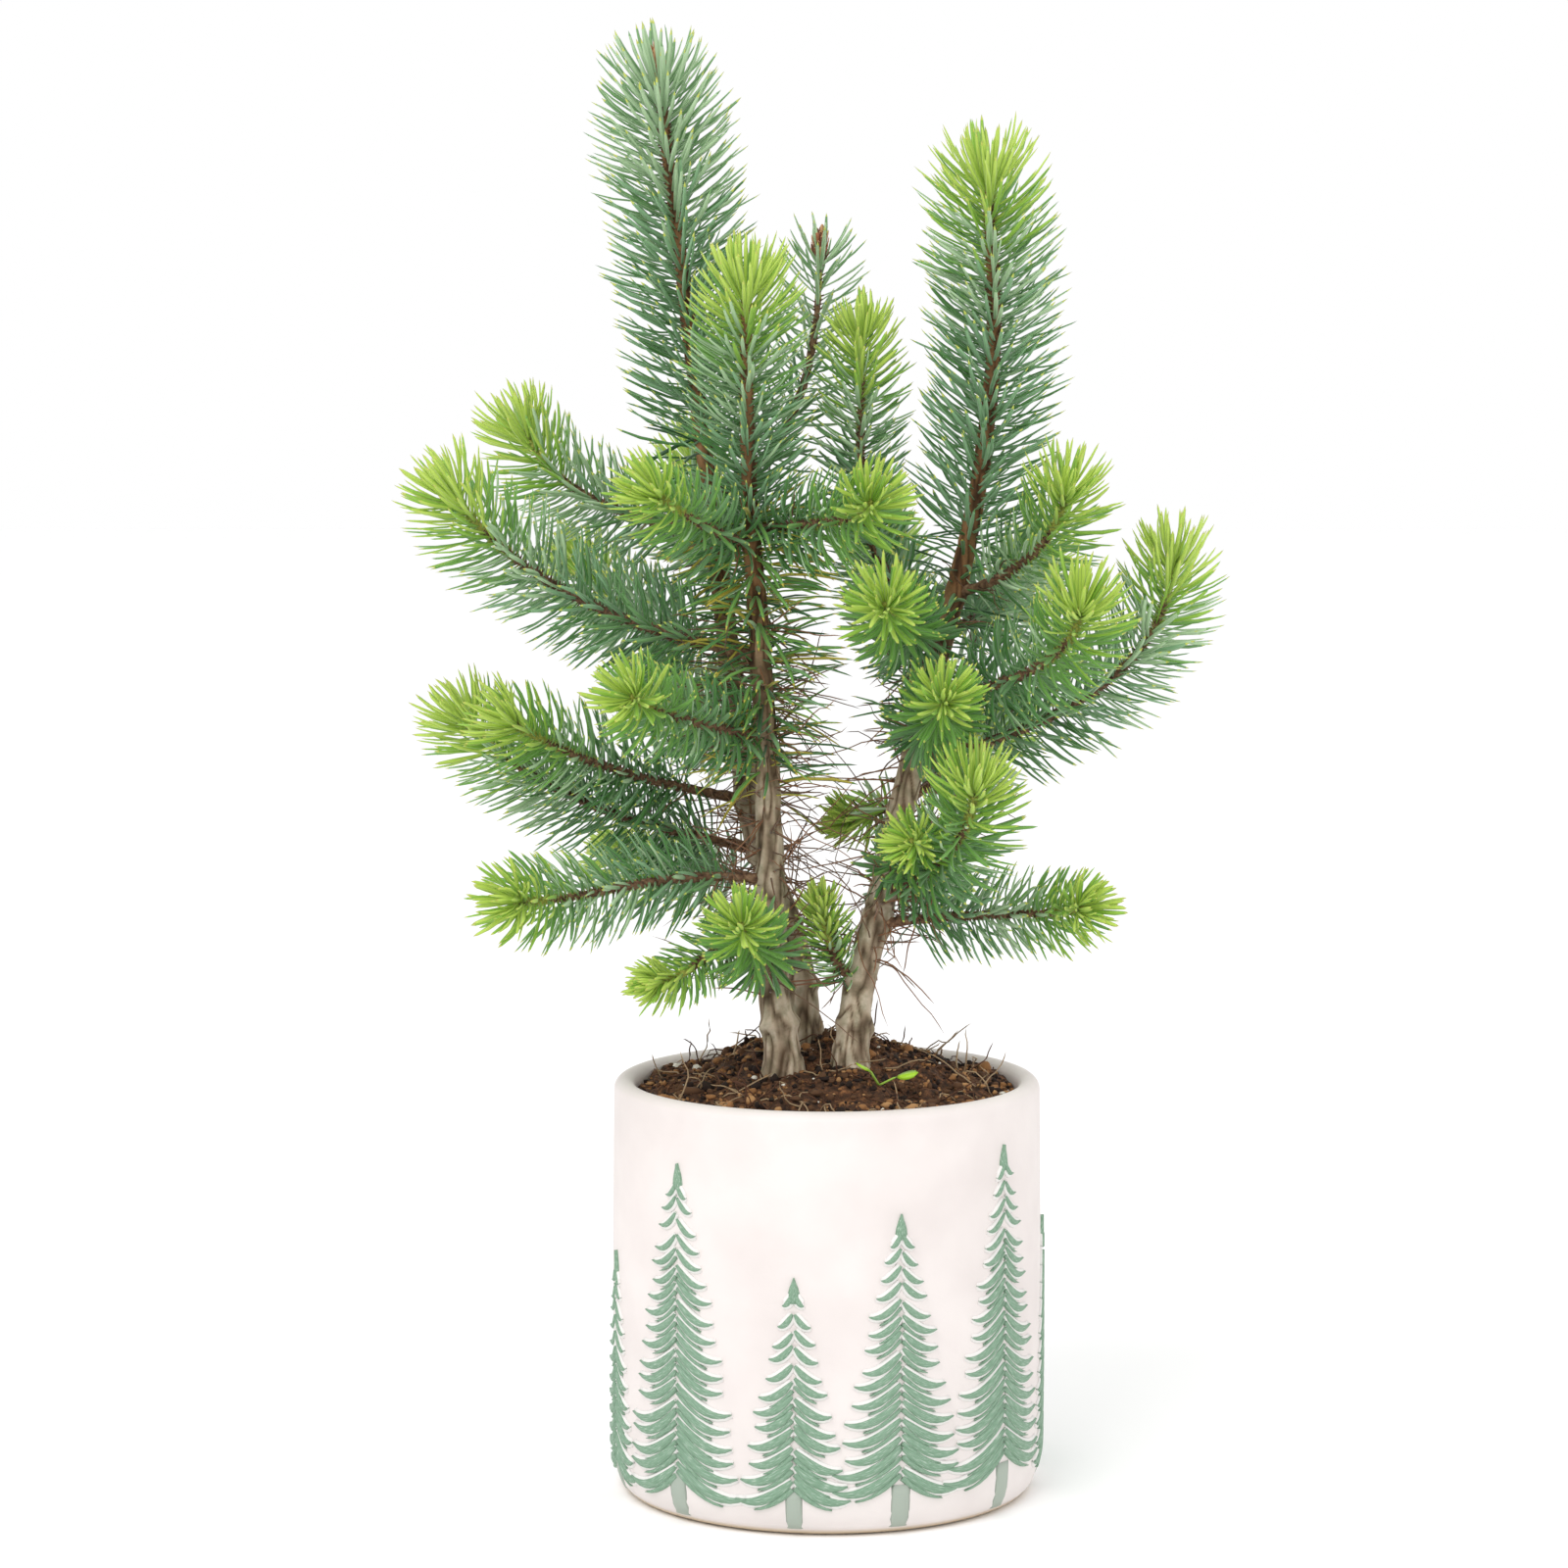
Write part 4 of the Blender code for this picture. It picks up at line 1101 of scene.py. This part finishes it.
ground = np.linspace(SOIL_RADIUS, 0.0, SOIL_ROWS)[:-1]
angles = np.linspace(0, 2 * np.pi, SOIL_STEPS, endpoint=False)
x, y = ground[:, None] * np.cos(angles), ground[:, None] * np.sin(angles)
top_rings = np.stack([x, y, lumpy_height(x, y)], axis=-1)
low_ring = top_rings[:1] * (1, 1, 0) + (0, 0, 108.0)
soil_rings = np.concatenate([low_ring, top_rings])
soil_centre = (0.0, 0.0, float(lumpy_height(np.zeros(1), np.zeros(1))[0]))
peat = soil_material()
make_piece("soil_surface", [closed_tube(soil_rings, (0, 0, 108.0), soil_centre)], [peat], ["soil"])

# %% Crumbs, perlite and bark chips
CRUMBS = 3000
crumb_skins = [
    new_material("peat_dark", "#24150d", 0.95), new_material("peat_brown", "#5c3f29", 0.95),
    new_material("bark_chip", "#96693f", 0.9), new_material("fibre_tan", "#b08457", 0.9),
    new_material("perlite", "#ece6da", 0.8)]


def crumb_part(seed):
    """Rough balls: three rings of six points and two poles, each point pushed in or out at random."""
    rng = np.random.default_rng(seed)
    reach = SOIL_RADIUS * np.sqrt(rng.random(CRUMBS)) * 0.985
    turn = rng.uniform(0, 2 * np.pi, CRUMBS)
    x, y = reach * np.cos(turn), reach * np.sin(turn)
    size = np.clip(rng.lognormal(-0.25, 0.42, CRUMBS), 0.35, 2.6)
    centre = np.stack([x, y, lumpy_height(x, y) + size * 0.25], axis=1)
    lift = np.radians((-50, 0, 50))
    around = np.radians(np.arange(0, 360, 60))
    ball = np.stack([np.cos(lift)[:, None] * np.cos(around), np.cos(lift)[:, None] * np.sin(around),
                     np.repeat(np.sin(lift)[:, None], 6, axis=1)], axis=-1).reshape(-1, 3)
    ball = np.vstack([ball, [(0, 0, -1), (0, 0, 1)]])
    stretch = rng.uniform(0.55, 1.25, (CRUMBS, 1, 3)) * (1, 1, 0.75)
    dents = rng.uniform(0.7, 1.2, (CRUMBS, len(ball), 1))
    points = centre[:, None] + ball * stretch * size[:, None, None] * dents
    one = closed_tube(np.zeros((3, 6, 3)), (0, 0, 0), (0, 0, 0))
    offset = (np.arange(CRUMBS) * len(ball))[:, None, None]
    skin = rng.choice(5, CRUMBS, p=(0.34, 0.38, 0.19, 0.075, 0.015))
    return new_part(
        points.reshape(-1, 3), (one["quads"] + offset).reshape(-1, 4), (one["tris"] + offset).reshape(-1, 3),
        np.repeat(skin, len(one["quads"])), np.repeat(skin, len(one["tris"])))


make_piece("soil_crumbs", [crumb_part(31)], crumb_skins)

# %% [markdown]
# Fine roots and fibres lie on the soil, and some curl up at the rim. They are the same wandering blades as
# the dry twigs, started on the soil and sent nearly level. A seedling has come up in front of the right
# stem, with two small oval leaves.

# %% Rootlets and a seedling
rootlet_skins = [new_material("pale_root", "#a58b6b", 0.8), new_material("brown_root", "#5b3a26", 0.9),
                 new_material("seedling_leaf", "#a8d52c", 0.45), new_material("seedling_stalk", "#9bbf4a", 0.5)]


def rootlets(count, reach, rise, seed):
    """Hair roots started on the soil at up to the given distance from the axis, near level or rising."""
    rng = np.random.default_rng(seed)
    distance = reach[0] + (reach[1] - reach[0]) * rng.random(count)
    turn = rng.uniform(0, 2 * np.pi, count)
    x, y = distance * np.cos(turn), distance * np.sin(turn)
    starts = np.stack([x, y, lumpy_height(x, y) + 0.3], axis=1)
    ways = [rng.normal(0, 1, count), rng.normal(0, 1, count), rng.uniform(*rise, count)]
    ways = unit(np.stack(ways, axis=1))
    paths = wandering(starts, ways, rng.uniform(8, 20, count), 0.3, 0.03, rng)
    inside = np.hypot(paths[..., 0], paths[..., 1]).max(axis=1) < SOIL_RADIUS - 0.6
    floor_here = lumpy_height(paths[..., 0], paths[..., 1])
    paths[..., 2] = np.maximum(paths[..., 2], floor_here + 0.2)
    paths = paths[inside]
    skin = rng.choice([0, 1], len(paths))
    return blades(
        paths, 0.3 * np.linspace(1, 0.6, DRY_STATIONS), 0.9, np.tile((0.1, 0.2, 1.0), (len(paths), 1)),
        (skin, skin, skin, skin))


def seedling():
    """A stalk and two seed leaves, each a short wide blade."""
    foot = np.array((15.0, -26.0, lumpy_height(np.array(15.0), np.array(-26.0))))
    s = np.linspace(0, 1, 6)[:, None]
    stalks, leaves = [], []
    for lean, length in (((0.9, -0.3, 0.5), 6.5), ((-0.5, -0.5, 0.9), 5.5)):
        head = foot + np.array(lean) * 6.0
        stalks.append(foot + (head - foot) * s)
        leaves.append(head + unit(np.array(lean) * (1, 1, 0.2)) * length * s + np.array((0, 0, 0.8)) * s ** 2)
    oval = 2.3 * np.sin(np.pi * (0.05 + 0.9 * s[:, 0])) ** 0.6
    facing = np.tile((0.0, -0.5, 1.0), (2, 1))
    return [blades(np.array(stalks), np.full(6, 0.4), 1.0, facing, (3, 3, 3, 3)),
            blades(np.array(leaves), oval, 0.16, facing, (2, 2, 2, 2))]


roots = [rootlets(120, (8, 52), (-0.1, 0.3), 41), rootlets(90, (40, 54), (0.1, 0.9), 42)] + seedling()
make_piece("rootlets", roots, rootlet_skins)
